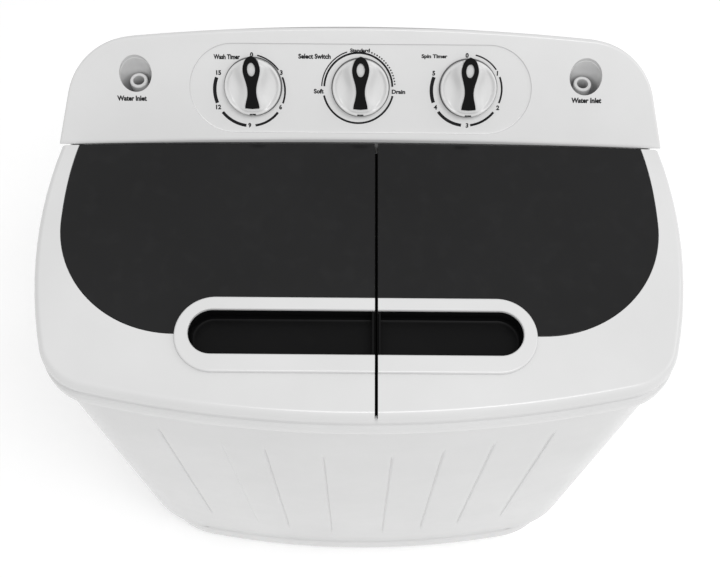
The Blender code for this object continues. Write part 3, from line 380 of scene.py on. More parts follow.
def stadium(centre_x, size, grow=0.0, steps=18):
    """An outline with round ends, from (length, width, centre y)."""
    length, width, centre_y = size
    radius = width / 2 + grow - 0.0001
    return rounded_rectangle((centre_x, centre_y), length + 2 * grow, width + 2 * grow, radius, steps)


def circles_meet(first, first_radius, second, second_radius, side):
    """One of the two points where two circles cross: the one on that side of the line between them."""
    line = Vector(second) - Vector(first)
    along = (first_radius**2 - second_radius**2 + line.length_squared) / (2 * line.length)
    across = math.sqrt(first_radius**2 - along**2)
    unit = line.normalized()
    return Vector(first) + unit * along + Vector((-unit.y, unit.x)) * across * side


def angle_of(vector):
    return math.degrees(math.atan2(vector.y, vector.x))


def plan_outline(half_width, front, rear, corner, rear_corner, inset=0.0, front_xs=None):
    """The body's outline from above: a bowed front, bowed sides and round corners, anticlockwise."""
    front_middle = Vector((0.0, front + FRONT_BOW_RADIUS))
    side_middle = Vector((half_width - SIDE_BOW_RADIUS, 0.0))
    corner_middle = circles_meet(
        front_middle, FRONT_BOW_RADIUS - corner, side_middle, SIDE_BOW_RADIUS - corner, 1
    )
    rear_y = rear - rear_corner
    rear_x = side_middle.x + math.sqrt((SIDE_BOW_RADIUS - rear_corner) ** 2 - rear_y**2)
    rear_middle = Vector((rear_x, rear_y))
    front_end = angle_of(corner_middle - front_middle)
    side_start = angle_of(corner_middle - side_middle)
    side_end = angle_of(rear_middle - side_middle)
    radius = FRONT_BOW_RADIUS - inset
    if front_xs is None:
        right = arc(front_middle, radius, -90.0, front_end, 18)
    else:
        right = [(x, front_middle.y - math.sqrt(radius**2 - x**2)) for x in front_xs]
        right += arc(front_middle, radius, front_end, front_end, 1)[1:]
    right += arc(corner_middle, corner - inset, front_end, side_start, 14)[1:]
    right += arc(side_middle, SIDE_BOW_RADIUS - inset, side_start, side_end, 16)[1:]
    right += arc(rear_middle, rear_corner - inset, side_end, 90.0, 8)[1:]
    return right + [(-x, y) for x, y in reversed(right[1:])]


def rim_outline(inset=0.0):
    return plan_outline(HALF_WIDTH, FRONT, REAR, RIM_CORNER, REAR_CORNER, inset)


def casing_outline(z, inset=0.0, tuck=0.0, front_xs=None):
    """The casing's outline at this height; the tuck draws its corners in towards the base's."""
    share = (z - CASING_FOOT) / (CASING_TOP - CASING_FOOT)
    half_width = CASING_HALF_WIDTH_FOOT + share * (CASING_HALF_WIDTH_TOP - CASING_HALF_WIDTH_FOOT)
    half_width -= tuck * (CASING_HALF_WIDTH_FOOT - BASE_HALF_WIDTH)
    front = CASING_FRONT_FOOT + share * (CASING_FRONT_TOP - CASING_FRONT_FOOT)
    front += tuck * (BASE_FRONT - CASING_FRONT_FOOT)
    corner = CASING_CORNER + tuck * (BASE_CORNER - CASING_CORNER)
    return plan_outline(half_width, front, CASING_REAR, corner, REAR_CORNER, inset, front_xs)


def base_outline(inset=0.0):
    return plan_outline(BASE_HALF_WIDTH, BASE_FRONT, CASING_REAR, BASE_CORNER, REAR_CORNER, inset)


def console_outline(inset=0.0):
    return plan_outline(CONSOLE_PLAN_HALF_WIDTH, FRONT, REAR, RIM_CORNER, REAR_CORNER, inset)


def console_edge_y(x):
    """The console's bowed lower edge, which the lids' rear edges follow."""
    return CONSOLE_EDGE_Y - CONSOLE_EDGE_BOW * (x / CONSOLE_EDGE_HALF) ** 2


def panel_point(x, s, height=0.0):
    """A point on the console's face: s runs up the slope from its lower edge, height stands off the face."""
    return Vector((
        x,
        CONSOLE_EDGE_Y + s * math.cos(CONSOLE_SLOPE) - height * math.sin(CONSOLE_SLOPE),
        CONSOLE_EDGE_Z + s * math.sin(CONSOLE_SLOPE) + height * math.cos(CONSOLE_SLOPE),
    ))


def panel_height(y, depth=0.0):
    """The Z of the console's face at this Y, or of a plane that depth below it."""
    drop = depth / math.cos(CONSOLE_SLOPE)
    return CONSOLE_EDGE_Z - drop + (y - CONSOLE_EDGE_Y) * math.tan(CONSOLE_SLOPE)


def smoothstep(low, high, value):
    share = min(1.0, max(0.0, (value - low) / (high - low)))
    return share * share * (3.0 - 2.0 * share)


# ---- Mesh helpers ----
def add_object(name, mesh):
    obj = bpy.data.objects.new(name, mesh)
    bpy.context.scene.collection.objects.link(obj)
    return obj


def from_bmesh(name, bm):
    mesh = bpy.data.meshes.new(name)
    bmesh.ops.recalc_face_normals(bm, faces=bm.faces)
    bm.to_mesh(mesh)
    bm.free()
    return add_object(name, mesh)


def loft(name, rings, caps=True, closed=False):
    """Skins rings of points in order. A ring of one point makes a tip; closed joins the last to the first."""
    bm = bmesh.new()
    rows = [[bm.verts.new(point) for point in ring] for ring in rings]
    count = max(len(row) for row in rows)
    pairs = list(zip(rows, rows[1:]))
    if closed:
        pairs.append((rows[-1], rows[0]))
    for low, high in pairs:
        for i in range(count):
            j = (i + 1) % count
            corners = (low[i % len(low)], low[j % len(low)], high[j % len(high)], high[i % len(high)])
            bm.faces.new(list(dict.fromkeys(corners)))
    if caps and not closed:
        for ring in (rows[0][::-1], rows[-1]):
            if len(ring) > 1:
                bm.faces.new(ring)
    return from_bmesh(name, bm)


def at_height(outline, z):
    return [(x, y, z) for x, y in outline]


def stepped(name, outline_of, rows):
    """A loft of an outline that changes with height, from (inset or growth, z) rows."""
    return loft(name, [at_height(outline_of(amount), z) for amount, z in rows])


def prism(name, outline, low, high):
    return loft(name, [at_height(outline, low), at_height(outline, high)])


def prism_along_x(name, outline_yz, low, high):
    return loft(name, [[(x, y, z) for y, z in outline_yz] for x in (low, high)])


def box(name, low, high):
    outline = [(low[0], low[1]), (high[0], low[1]), (high[0], high[1]), (low[0], high[1])]
    return prism(name, outline, low[2], high[2])


def rod(name, start, end, radius, steps=32):
    start, end = Vector(start), Vector(end)
    turn = Vector((0.0, 0.0, 1.0)).rotation_difference(end - start).to_matrix()
    ring = [turn @ Vector((x, y, 0.0)) for x, y in circle((0.0, 0.0), radius, steps)]
    return loft(name, [[start + p for p in ring], [end + p for p in ring]])


def turned(name, profile, centre, steps=72, closed=False):
    """A profile of (radius, height) points turned about a vertical axis; a radius of zero closes the end."""
    rings = []
    for radius, height in profile:
        ring = circle(centre, radius, steps) if radius > 0.0 else [centre]
        rings.append(at_height(ring, height))
    return loft(name, rings, closed=closed)


def apply_modifiers(obj):
    graph = bpy.context.evaluated_depsgraph_get()
    mesh = bpy.data.meshes.new_from_object(obj.evaluated_get(graph))
    obj.modifiers.clear()
    obj.data = mesh
    return obj


def combine(target, operation, *others):
    """Booleans the others with the target, in order, and removes them."""
    for other in others:
        modifier = target.modifiers.new(other.name, "BOOLEAN")
        modifier.operation = operation
        modifier.solver = "EXACT"
        modifier.object = other
    apply_modifiers(target)
    for other in others:
        bpy.data.objects.remove(other, do_unlink=True)
    return target


def cut(target, *cutters):
    return combine(target, "DIFFERENCE", *cutters)


def piece(obj, body, slot, material, *nodes, sharp=32.0):
    """Makes obj a shown piece: one finish, smooth shading between sharp edges, its body and its CAD nodes."""
    obj.data.materials.clear()
    obj.data.materials.append(material)
    for polygon in obj.data.polygons:
        polygon.material_index = 0
    obj.data.shade_smooth()
    obj.data.set_sharp_from_angle(angle=math.radians(sharp))
    weighted = obj.modifiers.new("weighted_normals", "WEIGHTED_NORMAL")
    weighted.keep_sharp = True
    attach(obj, body)
    if nodes:
        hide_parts(*nodes)
    return obj


def joined(name, objects):
    """One object that holds the meshes of several, which are removed."""
    bm = bmesh.new()
    for obj in objects:
        bm.from_mesh(obj.data)
        bpy.data.objects.remove(obj, do_unlink=True)
    mesh = bpy.data.meshes.new(name)
    bm.to_mesh(mesh)
    bm.free()
    return add_object(name, mesh)


# ---- Body ----
def groove_depth(x, z):
    """How far the casing's front is pressed in at this place."""
    for middle, share in GROOVES:
        aside = abs(x - middle) / GROOVE_HALF_WIDTH
        if aside < 1.0:
            outward = (abs(middle) - GROOVE_SPAN_X[0]) / (GROOVE_SPAN_X[1] - GROOVE_SPAN_X[0])
            top = GROOVE_TOP[0] + GROOVE_TOP[1] * outward
            foot = GROOVE_FOOT[0] + GROOVE_FOOT[1] * outward
            fade = smoothstep(foot, foot + GROOVE_FADE, z) * (1.0 - smoothstep(top - GROOVE_FADE, top, z))
            return GROOVE_DEPTH * share * fade * 0.5 * (1.0 + math.cos(math.pi * aside))
    return 0.0


def front_columns():
    """Where the casing's front has its columns of vertices: even steps, and seven to each groove."""
    xs = {round(0.0075 * i, 5) for i in range(28)}
    for middle, _ in GROOVES:
        centre = abs(middle)
        xs = {x for x in xs if abs(x - centre) > 1.6 * GROOVE_HALF_WIDTH}
    for middle, _ in GROOVES:
        centre = abs(middle)
        xs |= {round(centre + step * GROOVE_HALF_WIDTH / 3, 5) for step in range(-3, 4)}
    return sorted(xs)


def make_casing():
    columns = front_columns()
    straight = 0.0950
    heights = [CASING_FOOT, 0.0590, 0.0605, 0.0630, 0.0665, 0.0710, 0.0770, 0.0850, straight]
    heights += [straight + (CASING_TOP - straight) * i / 80 for i in range(1, 81)]
    rings = []
    for z in heights:
        fall = min(1.0, max(0.0, 1.0 - (z - CASING_FOOT) / CASING_TUCK_HEIGHT))
        tuck = 1.0 - math.sqrt(1.0 - fall**2.6)
        fan = 1.0 + GROOVE_FAN * (z - CASING_FOOT) / (CASING_TOP - CASING_FOOT)
        outline = casing_outline(z, 0.0, tuck, [x * fan for x in columns])
        rings.append([(x, y + groove_depth(x / fan, z) if y < 0 else y, z) for x, y in outline])
    casing = loft("casing_shell", rings, caps=False)
    wall = casing.modifiers.new("wall", "SOLIDIFY")
    wall.thickness = CASING_WALL
    wall.offset = -1.0
    apply_modifiers(casing)
    cut(casing, box("casing_service_opening", *SERVICE_OPENING))
    return piece(casing, "cabinet", "white_shell", CASING_WHITE_PAINTED_SHADE, "outer_casing")


def make_base():
    rows = (
        (0.0070, BASE_UNDERSIDE), (0.0042, 0.0088), (0.0022, 0.0105), (0.0008, 0.0135), (0.0, 0.0180),
        (0.0, 0.0420), (0.0012, 0.0530), (0.0026, CASING_FOOT - 0.0006),
    )
    base = stepped("base_shell", base_outline, rows)
    cut(base, prism("base_well", base_outline(0.0055), 0.0112, 0.080))
    return piece(base, "cabinet", "white_shell", CASING_WHITE_PAINTED_SHADE, "base_tray")


# ---- Deck ----
def hinge_boss_spans():
    inner = LID_SPLIT_GAP / 2 + LID_WALL
    return {
        "wash_outer": (-0.2785, -0.2725),
        "wash_inner": (LID_SPLIT - inner - 0.0080, LID_SPLIT - inner - 0.0020),
        "spin_inner": (LID_SPLIT + inner + 0.0020, LID_SPLIT + inner + 0.0080),
        "spin_outer": (0.2725, 0.2785),
    }


def make_deck():
    profile = (
        (0.0016, 0.5462), (0.0006, 0.5475), (0.0, 0.5490), (0.0, 0.5530), (0.0003, 0.5572),
        (0.0005, 0.5590), (0.0009, 0.5602), (0.0016, 0.5611), (0.0025, 0.5617), (0.0034, 0.5621),
        (0.0040, 0.5626), (0.0044, 0.5640), (0.0049, 0.5670), (0.0053, 0.5706), (0.0057, 0.5727),
        (0.0065, 0.5742), (0.0077, RIM_TOP),
    )
    deck = stepped("deck_moulding", rim_outline, profile)
    cut(deck, prism("deck_well", rim_outline(RIM_WIDTH), PLATE_TOP, 0.600))
    front, rear = DECK_REAR_RECESS_Y
    recess = box("hinge_recess", (-PAST_SIDES, front, PLATE_TOP), (PAST_SIDES, rear, 0.600))
    combine(recess, "INTERSECT", prism("hinge_recess_plan", rim_outline(DECK_REAR_INSET), 0.540, 0.620))
    cut(deck, recess)
    cut(deck, prism("deck_socket", casing_outline(CASING_TOP, -0.0005), 0.500, PLATE_UNDERSIDE))
    width, depth, radius = WASH_OPENING
    cut(deck, prism("deck_wash_opening", rounded_rectangle(WASH_CENTRE, width, depth, radius), 0.540, 0.590))
    cut(deck, prism("deck_spin_opening", circle(SPIN_CENTRE, SPIN_OPENING_RADIUS), 0.540, 0.590))
    eye = arc((HINGE_Y, HINGE_Z), HINGE_BOSS_RADIUS, 0.0, 180.0, 16)
    foot = PLATE_TOP - 0.001
    outline = [(HINGE_Y - HINGE_BOSS_RADIUS, foot), (HINGE_Y + HINGE_BOSS_RADIUS, foot)] + eye
    for name, (low, high) in hinge_boss_spans().items():
        combine(deck, "UNION", prism_along_x(f"boss_{name}", outline, low, high))
        ends = ((low - 0.001, HINGE_Y, HINGE_Z), (high + 0.001, HINGE_Y, HINGE_Z))
        cut(deck, rod(f"bore_{name}", *ends, HINGE_BORE_RADIUS))
    return piece(deck, "cabinet", "white_shell", WHITE_SHELL, "top_deck")


# ---- Console ----
def console_face_outline():
    """The face's outline in (x, s), well past its lower edge: leaning sides, round corners, an arched top."""
    top_radius = 0.224**2 / (2 * CONSOLE_TOP_ARCH) + CONSOLE_TOP_ARCH / 2
    top_middle = Vector((0.0, CONSOLE_LENGTH - top_radius))
    side = Vector((-CONSOLE_LEAN, 1.0)).normalized()
    outward = Vector((side.y, -side.x))
    edge_point = Vector((CONSOLE_EDGE_HALF, -0.0055))
    line_point = edge_point - outward * CONSOLE_CORNER
    to_line = line_point - top_middle
    half_b = to_line.dot(side)
    rest = to_line.length_squared - (top_radius - CONSOLE_CORNER) ** 2
    corner_middle = line_point + side * (-half_b + math.sqrt(half_b**2 - rest))
    start = angle_of(outward)
    turn = angle_of(corner_middle - top_middle)
    right = [tuple(edge_point - side * 0.060)]
    right += arc(corner_middle, CONSOLE_CORNER, start, turn, 20)
    right += arc(top_middle, top_radius, turn, 90.0, 20)[1:]
    return right + [(-x, s) for x, s in reversed(right[:-1])]


def offset_outline(outline, inset):
    """Moves each point of an anticlockwise outline inwards by the inset, square to its two sides."""
    moved = []
    count = len(outline)
    for i in range(count):
        before, here, after = (Vector(outline[j % count]) for j in (i - 1, i, i + 1))
        first, second = (here - before).normalized(), (after - here).normalized()
        normals = [Vector((-d.y, d.x)) for d in (first, second)]
        middle = (normals[0] + normals[1]).normalized()
        reach = inset / max(0.35, middle.dot(normals[0]))
        moved.append(tuple(here + middle * reach))
    return moved


def bowed_edge_cutter(name):
    """Everything in front of the console's bowed lower edge, which it leaves upright and slightly rounded."""
    front, foot, brow = 0.040, 0.560, 0.594
    rounding = ((-0.0013, 0.0), (-0.0004, 0.0003), (0.0006, 0.0009), (0.0017, 0.0020), (0.0200, 0.0020))
    xs = [PAST_SIDES - 0.0125 * i for i in range(49)]
    lowest = [(-PAST_SIDES, front, foot), (PAST_SIDES, front, foot)]
    rings = [lowest + [(x, console_edge_y(x), foot) for x in xs]]
    for lift, offset in rounding:
        ring = [(-PAST_SIDES, front, brow + lift), (PAST_SIDES, front, brow + lift)]
        for x in xs:
            y = console_edge_y(x)
            ring.append((x, y + offset, panel_height(y) + lift))
        rings.append(ring)
    return loft(name, rings)


def on_face(name, rows):
    """A loft of (outline in (x, s), height off the face) rows, square to the console's face."""
    return loft(name, [[tuple(panel_point(x, s, height)) for x, s in outline] for outline, height in rows])


def inlet_outline(side, grow=0.0, steps=64):
    """The fill pocket's outline from above."""
    outline = []
    for i in range(steps):
        angle = 2 * math.pi * i / steps
        x = side * INLET_X + (INLET_POCKET[0] + grow) * math.cos(angle)
        outline.append((x, INLET_POCKET_Y + (INLET_POCKET[1] + grow) * math.sin(angle)))
    return outline


def make_console():
    rear = REAR - BACK_COVER_THICKNESS - GAP
    outline = console_face_outline()
    rounding = (
        (0.0, -0.16), (0.0, -0.0034), (0.0003, -0.0020), (0.0009, -0.0010), (0.0018, -0.0003), (0.0030, 0.0),
    )
    form = on_face("console_shell", [(offset_outline(outline, inset), height) for inset, height in rounding])
    section = [
        (0.0500, CONSOLE_LIP_UNDERSIDE), (CONSOLE_FRONT_WALL_Y, CONSOLE_LIP_UNDERSIDE),
        (CONSOLE_FRONT_WALL_Y, CONSOLE_BOTTOM), (rear, CONSOLE_BOTTOM), (rear, 0.700), (0.0500, 0.700),
    ]
    combine(form, "INTERSECT", prism_along_x("console_section", section, -PAST_SIDES, PAST_SIDES))
    combine(form, "INTERSECT", prism("console_plan", console_outline(), 0.500, 0.720))
    cut(form, bowed_edge_cutter("console_edge_cut"))
    inner_front = CONSOLE_FRONT_WALL_Y + CONSOLE_WALL
    hollow = prism_along_x("console_hollow", [
        (inner_front, 0.500), (0.250, 0.500), (0.250, panel_height(0.250, CONSOLE_WALL)),
        (inner_front, panel_height(inner_front, CONSOLE_WALL)),
    ], -PAST_SIDES, PAST_SIDES)
    inner = offset_outline(outline, CONSOLE_WALL)
    combine(hollow, "INTERSECT", on_face("console_hollow_face", [(inner, -0.16), (inner, 0.03)]))
    combine(hollow, "INTERSECT", prism("console_hollow_plan", console_outline(CONSOLE_WALL), 0.400, 0.800))
    cut(form, hollow)
    low = (-0.2650, CONSOLE_FRONT_WALL_Y, PLATE_TOP + GAP)
    combine(form, "UNION", box("console_leg", low, (0.2650, inner_front, CONSOLE_BOTTOM + 0.004)))
    middle_s = (PANEL_LOW_S + PANEL_HIGH_S) / 2
    size = (2 * PANEL_HALF, PANEL_HIGH_S - PANEL_LOW_S, middle_s)
    walls = ((-0.0008, -PANEL_RECESS), (-0.0002, -PANEL_RECESS + 0.0002), (0.0003, -0.0001), (0.0018, 0.0015))
    cut(form, on_face("panel_recess", [(stadium(0.0, size, grow), height) for grow, height in walls]))
    for side in (-1, 1):
        cut(form, prism(f"inlet_hole_{side}", inlet_outline(side), 0.600, 0.690))
    return piece(form, "cabinet", "white_shell", WHITE_SHELL, "console_housing")


def make_back_cover():
    cover = on_face("console_back_plate", [(console_face_outline(), height) for height in (-0.16, 0.0)])
    rear = REAR - BACK_COVER_THICKNESS
    section = [(rear, CONSOLE_BOTTOM), (REAR, CONSOLE_BOTTOM), (REAR, 0.700), (rear, 0.700)]
    combine(cover, "INTERSECT", prism_along_x("back_section", section, -PAST_SIDES, PAST_SIDES))
    combine(cover, "INTERSECT", prism("back_plan", console_outline(), 0.500, 0.720))
    return piece(cover, "cabinet", "white_shell", SATIN_WHITE, "console_back_cover")


def make_inlet(side, name):
    """A cup with a bowl-shaped floor, and the nozzle that stands up in it."""
    lowest, foot, inside, top = 0.6000, 0.585, 0.5985, 0.660
    bowl = (
        (-0.0100, lowest), (-0.0064, lowest + 0.0004), (-0.0034, lowest + 0.0020), (-0.0015, lowest + 0.0048),
        (-0.0005, lowest + 0.0085), (-0.0002, lowest + 0.0140), (-0.0002, 0.700),
    )
    shell = ((0.0010, lowest - 0.0015), (0.0022, lowest + 0.0020), (0.0022, top))
    cup = stepped(f"water_cup_{name}", lambda grow: inlet_outline(side, grow), shell)
    cut(cup, stepped("cup_bowl", lambda grow: inlet_outline(side, grow), bowl))
    nozzle, bore, neck, rim = 0.0084, 0.0050, 0.0072, 0.6170
    profile = [
        (nozzle, inside), (nozzle, rim - 0.0012), (nozzle - 0.0003, rim - 0.0005), (nozzle - 0.0009, rim),
        (bore + 0.0010, rim), (bore + 0.0003, rim - 0.0003), (bore, rim - 0.0010), (bore, foot),
        (neck, foot), (neck, inside),
    ]
    x = side * INLET_X
    spout = turned("cup_nozzle", profile, (x, INLET_Y), steps=64, closed=True)
    cut(cup, rod("cup_bore", (x, INLET_Y, 0.580), (x, INLET_Y, 0.650), neck + 0.0004, steps=64))
    combine(cup, "UNION", spout)
    above = rounded_rectangle((x, 0.060), 0.060, 0.100, 0.005)
    cut(cup, on_face(f"cup_top_cut_{name}", [(above, -0.0032), (above, 0.060)]))
    return piece(cup, "cabinet", "white_shell", INLET_WHITE_PAINTED_SHADE, f"water_inlet_{name}")


# ---- Controls ----
def pointer_half_width(y):
    """Half the pointer's width at this distance along it: a flared tail, a waist, and an almond head."""
    head_half, tail_half, waist_half = 0.0079, 0.0066, 0.0034
    if y >= POINTER_HEAD:
        lift = min(1.0, (y - POINTER_HEAD) / (POINTER_TIP - POINTER_HEAD))
        return head_half * math.sqrt(max(0.0, 1.0 - lift**1.7))
    share = (y - POINTER_TAIL) / (POINTER_HEAD - POINTER_TAIL)
    flare = (tail_half - waist_half) * math.exp(-((share / 0.28) ** 2))
    swell = (head_half - waist_half) * math.exp(-(((1.0 - share) / 0.36) ** 2))
    return waist_half + flare + swell


def pointer_outline(steps=36):
    right = [(0.0, POINTER_TAIL - 0.0006)]
    for i in range(steps):
        y = POINTER_TAIL + (POINTER_TIP - POINTER_TAIL) * i / steps
        right.append((pointer_half_width(y), y))
    right.append((0.0, POINTER_TIP))
    return right + [(-x, y) for x, y in reversed(right[1:-1])]


def pointer_height(y):
    """How high the grip stands over the dial at this local Y: low at the tail, high at the head."""
    return 0.0100 + 0.0060 * (y - POINTER_TAIL) / 0.0485


def knob_height(x, y):
    """The knob's top: a rim, a dished face, and a grip that rises along the middle to carry the pointer."""
    radius = math.hypot(x, y)
    edge = smoothstep(KNOB_RADIUS - 0.0042, KNOB_RADIUS - 0.0016, radius)
    dish = 0.0046 + 0.0026 * edge
    round_over = max(0.0, (radius - (KNOB_RADIUS - 0.0009)) / 0.0009)
    dish -= 0.0010 * min(1.0, round_over) ** 2
    along = min(POINTER_TIP, max(POINTER_TAIL, y))
    beside = max(0.0, abs(x) - pointer_half_width(along))
    beyond = max(0.0, abs(y - along))
    away = math.hypot(beside, beyond * 0.8)
    grip = (pointer_height(along) - dish) * math.exp(-((away / 0.0070) ** 2.2))
    return dish + grip * (1.0 - 0.4 * edge * (1.0 if away > 0.0 else 0.0))


def on_knob(knob_x, points, lift=0.0, base=None):
    """Points about a knob's middle, lifted off the face by an amount, and by base(x, y) where it is given."""
    raised = []
    for x, y in points:
        height = lift if base is None else base(x, y) + lift
        raised.append(tuple(panel_point(knob_x + x, KNOB_S + y, height)))
    return raised


def dial_ring(knob_x, radius, lift=0.0, base=None):
    return on_knob(knob_x, circle((0.0, 0.0), radius, 96), lift, base)


def make_knob(name, x, body, node):
    rings = 26
    rows = [on_knob(x, [(0.0, 0.0)], base=knob_height)]
    for ring in range(1, rings + 1):
        radius = KNOB_RADIUS * (1.0 - (1.0 - ring / rings) ** 1.25)
        rows.append(dial_ring(x, radius, base=knob_height))
    rows += [dial_ring(x, KNOB_RADIUS, height) for height in (0.0056, 0.0008)]
    return piece(loft(name, rows), body, "white_shell", WHITE_SHELL, node, sharp=50.0)


def make_pointer(name, x, body, node):
    rows = []
    for grow, lift in ((0.0, -0.0015), (0.0, 0.0014), (-0.0002, 0.0019), (-0.0006, 0.0022)):
        ring = offset_outline(pointer_outline(), -grow)
        rows.append(on_knob(x, ring, lift, base=lambda _, y: pointer_height(y)))
    pointer = loft(name, rows)
    half_width, half_length, middle = POINTER_EYE
    angles = [2 * math.pi * i / 36 for i in range(36)]
    eye = [(half_width * math.cos(angle), middle + half_length * math.sin(angle)) for angle in angles]
    cut(pointer, loft(f"{name}_eye", [on_knob(x, eye, height) for height in (0.0, 0.030)]))
    return piece(pointer, body, "black_trim", BLACK_TRIM, node)


def make_tick(name, x, body):
    """The short black mark at the foot of each knob's rim."""
    outline = rounded_rectangle((0.0, -0.0249), 0.0058, 0.0013, 0.0004, 3)
    rows = [on_knob(x, outline, lift, base=knob_height) for lift in (-0.0006, 0.00012)]
    return piece(loft(name, rows), body, "black_trim", INK)


def make_shadow_ring(name, x):
    """The dark gap round a knob, as a thin ring on the panel."""
    outer, inner = KNOB_RADIUS + 0.0011, KNOB_RADIUS + 0.0001
    low, high = -PANEL_RECESS - 0.0002, -PANEL_RECESS + 0.0016
    corners = ((outer, low), (outer, high), (inner, high), (inner, low))
    rows = [dial_ring(x, radius, height) for radius, height in corners]
    return piece(loft(name, rows, closed=True), "cabinet", "black_trim", SHADOW_LINE)


# ---- Print on the console ----
INK_RISE = 0.00008
PRINT_LOW = -PANEL_RECESS - 0.0001
PRINT_HIGH = -PANEL_RECESS + INK_RISE
NUMERAL_HEIGHT = 0.0044


def printed_text(words, x, s, height, width=None, on_recess=True):
    """Raised ink letters centred at a place on the face, scaled to a height, and to a width if given."""
    data = bpy.data.curves.new(words, "FONT")
    data.body = words
    data.align_x = "CENTER"
    data.align_y = "CENTER"
    data.size = 0.01
    data.offset = LETTER_WEIGHT
    data.extrude = 0.0
    data.resolution_u = 3
    obj = add_object(f"text_{words}_{len(bpy.data.objects)}", data)
    mesh = bpy.data.meshes.new_from_object(obj.evaluated_get(bpy.context.evaluated_depsgraph_get()))
    bpy.data.objects.remove(obj, do_unlink=True)
    xs = [v.co.x for v in mesh.vertices]
    ys = [v.co.y for v in mesh.vertices]
    middle = ((min(xs) + max(xs)) / 2, (min(ys) + max(ys)) / 2)
    tall = height / (max(ys) - min(ys))
    wide = tall if width is None else width / (max(xs) - min(xs))
    bm = bmesh.new()
    bm.from_mesh(mesh)
    bmesh.ops.remove_doubles(bm, verts=bm.verts, dist=1e-6)
    top = PRINT_HIGH if on_recess else INK_RISE
    for vertex in bm.verts:
        px, py = vertex.co.x - middle[0], vertex.co.y - middle[1]
        vertex.co = panel_point(x + px * wide, s + py * tall, top)
    drop = panel_point(0.0, 0.0, -PRINT_DEPTH) - panel_point(0.0, 0.0, 0.0)
    made = bmesh.ops.extrude_face_region(bm, geom=bm.faces[:])
    for item in made["geom"]:
        if isinstance(item, bmesh.types.BMVert):
            item.co = item.co + drop
    return from_bmesh(f"text_{words}", bm)


def printed_arc(name, middle, start, end, width, radius=DIAL_RADIUS):
    """A printed stroke round a dial's middle, between angles measured clockwise from the top."""
    steps = max(2, round((end - start) / 3.0))
    outer = arc(middle, radius + width / 2, 90.0 - start, 90.0 - end, steps)
    inner = arc(middle, radius - width / 2, 90.0 - end, 90.0 - start, steps)
    return on_face(name, [(outer + inner, PRINT_LOW), (outer + inner, PRINT_HIGH)])


TIMER_ARCS = ((13, 55, 0.0013), (68, 111, 0.0017), (128, 172, 0.0022), (187, 232, 0.0028), (249, 291, 0.0033))


def make_timer_print(name, middle, numerals, label):
    parts = []
    for start, end, width in TIMER_ARCS:
        parts.append(printed_arc(f"{name}_arc_{start}", middle, start, end, width))
    parts += [printed_text(*numeral, NUMERAL_HEIGHT) for numeral in numerals]
    parts.append(printed_text(*label))
    return piece(joined(name, parts), "cabinet", "black_trim", INK)


def make_selector_print(middle):
    parts = [printed_arc("selector_arc_foot", middle, 103, 257, 0.0018)]
    parts.append(printed_arc("selector_arc_outer", middle, 272, 342, 0.0011, DIAL_RADIUS + 0.0013))
    parts.append(printed_arc("selector_arc_inner", middle, 272, 448, 0.0018, DIAL_RADIUS - 0.0011))
    for i in range(15):
        start = 20.0 + 4.5 * i
        dot = printed_arc(f"selector_dot_{i}", middle, start, start + 2.3, 0.0013, DIAL_RADIUS + 0.0013)
        parts.append(dot)
    labels = (
        ("Select Switch", -0.0428, 0.0763, 0.0046, 0.0300), ("Standard", -0.0008, 0.0819, 0.0036, 0.0184),
        ("Soft", -0.0390, 0.0445, 0.0044, 0.0092), ("Drain", 0.0354, 0.0445, 0.0040, 0.0126),
    )
    parts += [printed_text(*label) for label in labels]
    return piece(joined("selector_print", parts), "cabinet", "black_trim", INK)


def make_prints():
    make_timer_print(
        "wash_timer_print", DIAL_MIDDLES[0],
        (("0", -0.1009, 0.0774), ("3", -0.0737, 0.0613), ("6", -0.0748, 0.0295),
         ("9", -0.1040, 0.0124), ("12", -0.1329, 0.0292), ("15", -0.1319, 0.0608)),
        ("Wash Timer", -0.1240, 0.0753, 0.0046, 0.0245),
    )
    make_timer_print(
        "spin_timer_print", DIAL_MIDDLES[2],
        (("0", 0.0982, 0.0782), ("1", 0.1269, 0.0622), ("2", 0.1286, 0.0305),
         ("3", 0.1005, 0.0138), ("4", 0.0703, 0.0305), ("5", 0.0678, 0.0618)),
        ("Spin Timer", 0.0681, 0.0767, 0.0046, 0.0240),
    )
    make_selector_print(DIAL_MIDDLES[1])
    for name, x, s, width in (("left", -0.2134, 0.0368, 0.0276), ("right", 0.2108, 0.0380, 0.0281)):
        text = printed_text("Water Inlet", x, s, 0.0049, width, on_recess=False)
        text.name = f"water_inlet_print_{name}"
        piece(text, "cabinet", "black_trim", INK)


# ---- Lids ----
def lid_zone(name, side, side_inset=0.0, rear_gap=LID_REAR_GAP):
    """The plan zone of one lid, up to the split and to the console's edge."""
    if side == "wash":
        start, end = -PAST_SIDES, LID_SPLIT - LID_SPLIT_GAP / 2 - side_inset
    else:
        start, end = LID_SPLIT + LID_SPLIT_GAP / 2 + side_inset, PAST_SIDES
    xs = [start + (end - start) * i / 24 for i in range(25)]
    past_front = -0.300
    outline = [(start, past_front), (end, past_front)]
    outline += [(x, console_edge_y(x) - rear_gap) for x in reversed(xs)]
    return prism(name, outline, 0.400, 0.800)


def lid_rear_relief(name, inset, start_y):
    """What the lids lose at their rear corners, so that they swing down inside the deck's rim."""
    relief = box(name, (-0.310, start_y, 0.550), (0.310, 0.120, 0.610))
    return cut(relief, prism("relief_kept", rim_outline(inset), 0.540, 0.620))


def window_outline(grow=0.0):
    """The dark window over both lids: round front corners, and sides that curve in to the rear."""
    half, front, corner, rear = 0.2735 + grow, -0.0990 - grow, 0.112 + grow, 0.100
    right = [(0.0, front)]
    right += arc((half - corner, front + corner), corner, -90.0, 0.0, 28)
    for i in range(1, 13):
        share = i / 12
        y = front + corner + share * (rear - front - corner)
        right.append((half - WINDOW_REAR_CURVE * share**2.4, y))
    return right + [(-x, y) for x, y in reversed(right[1:])]


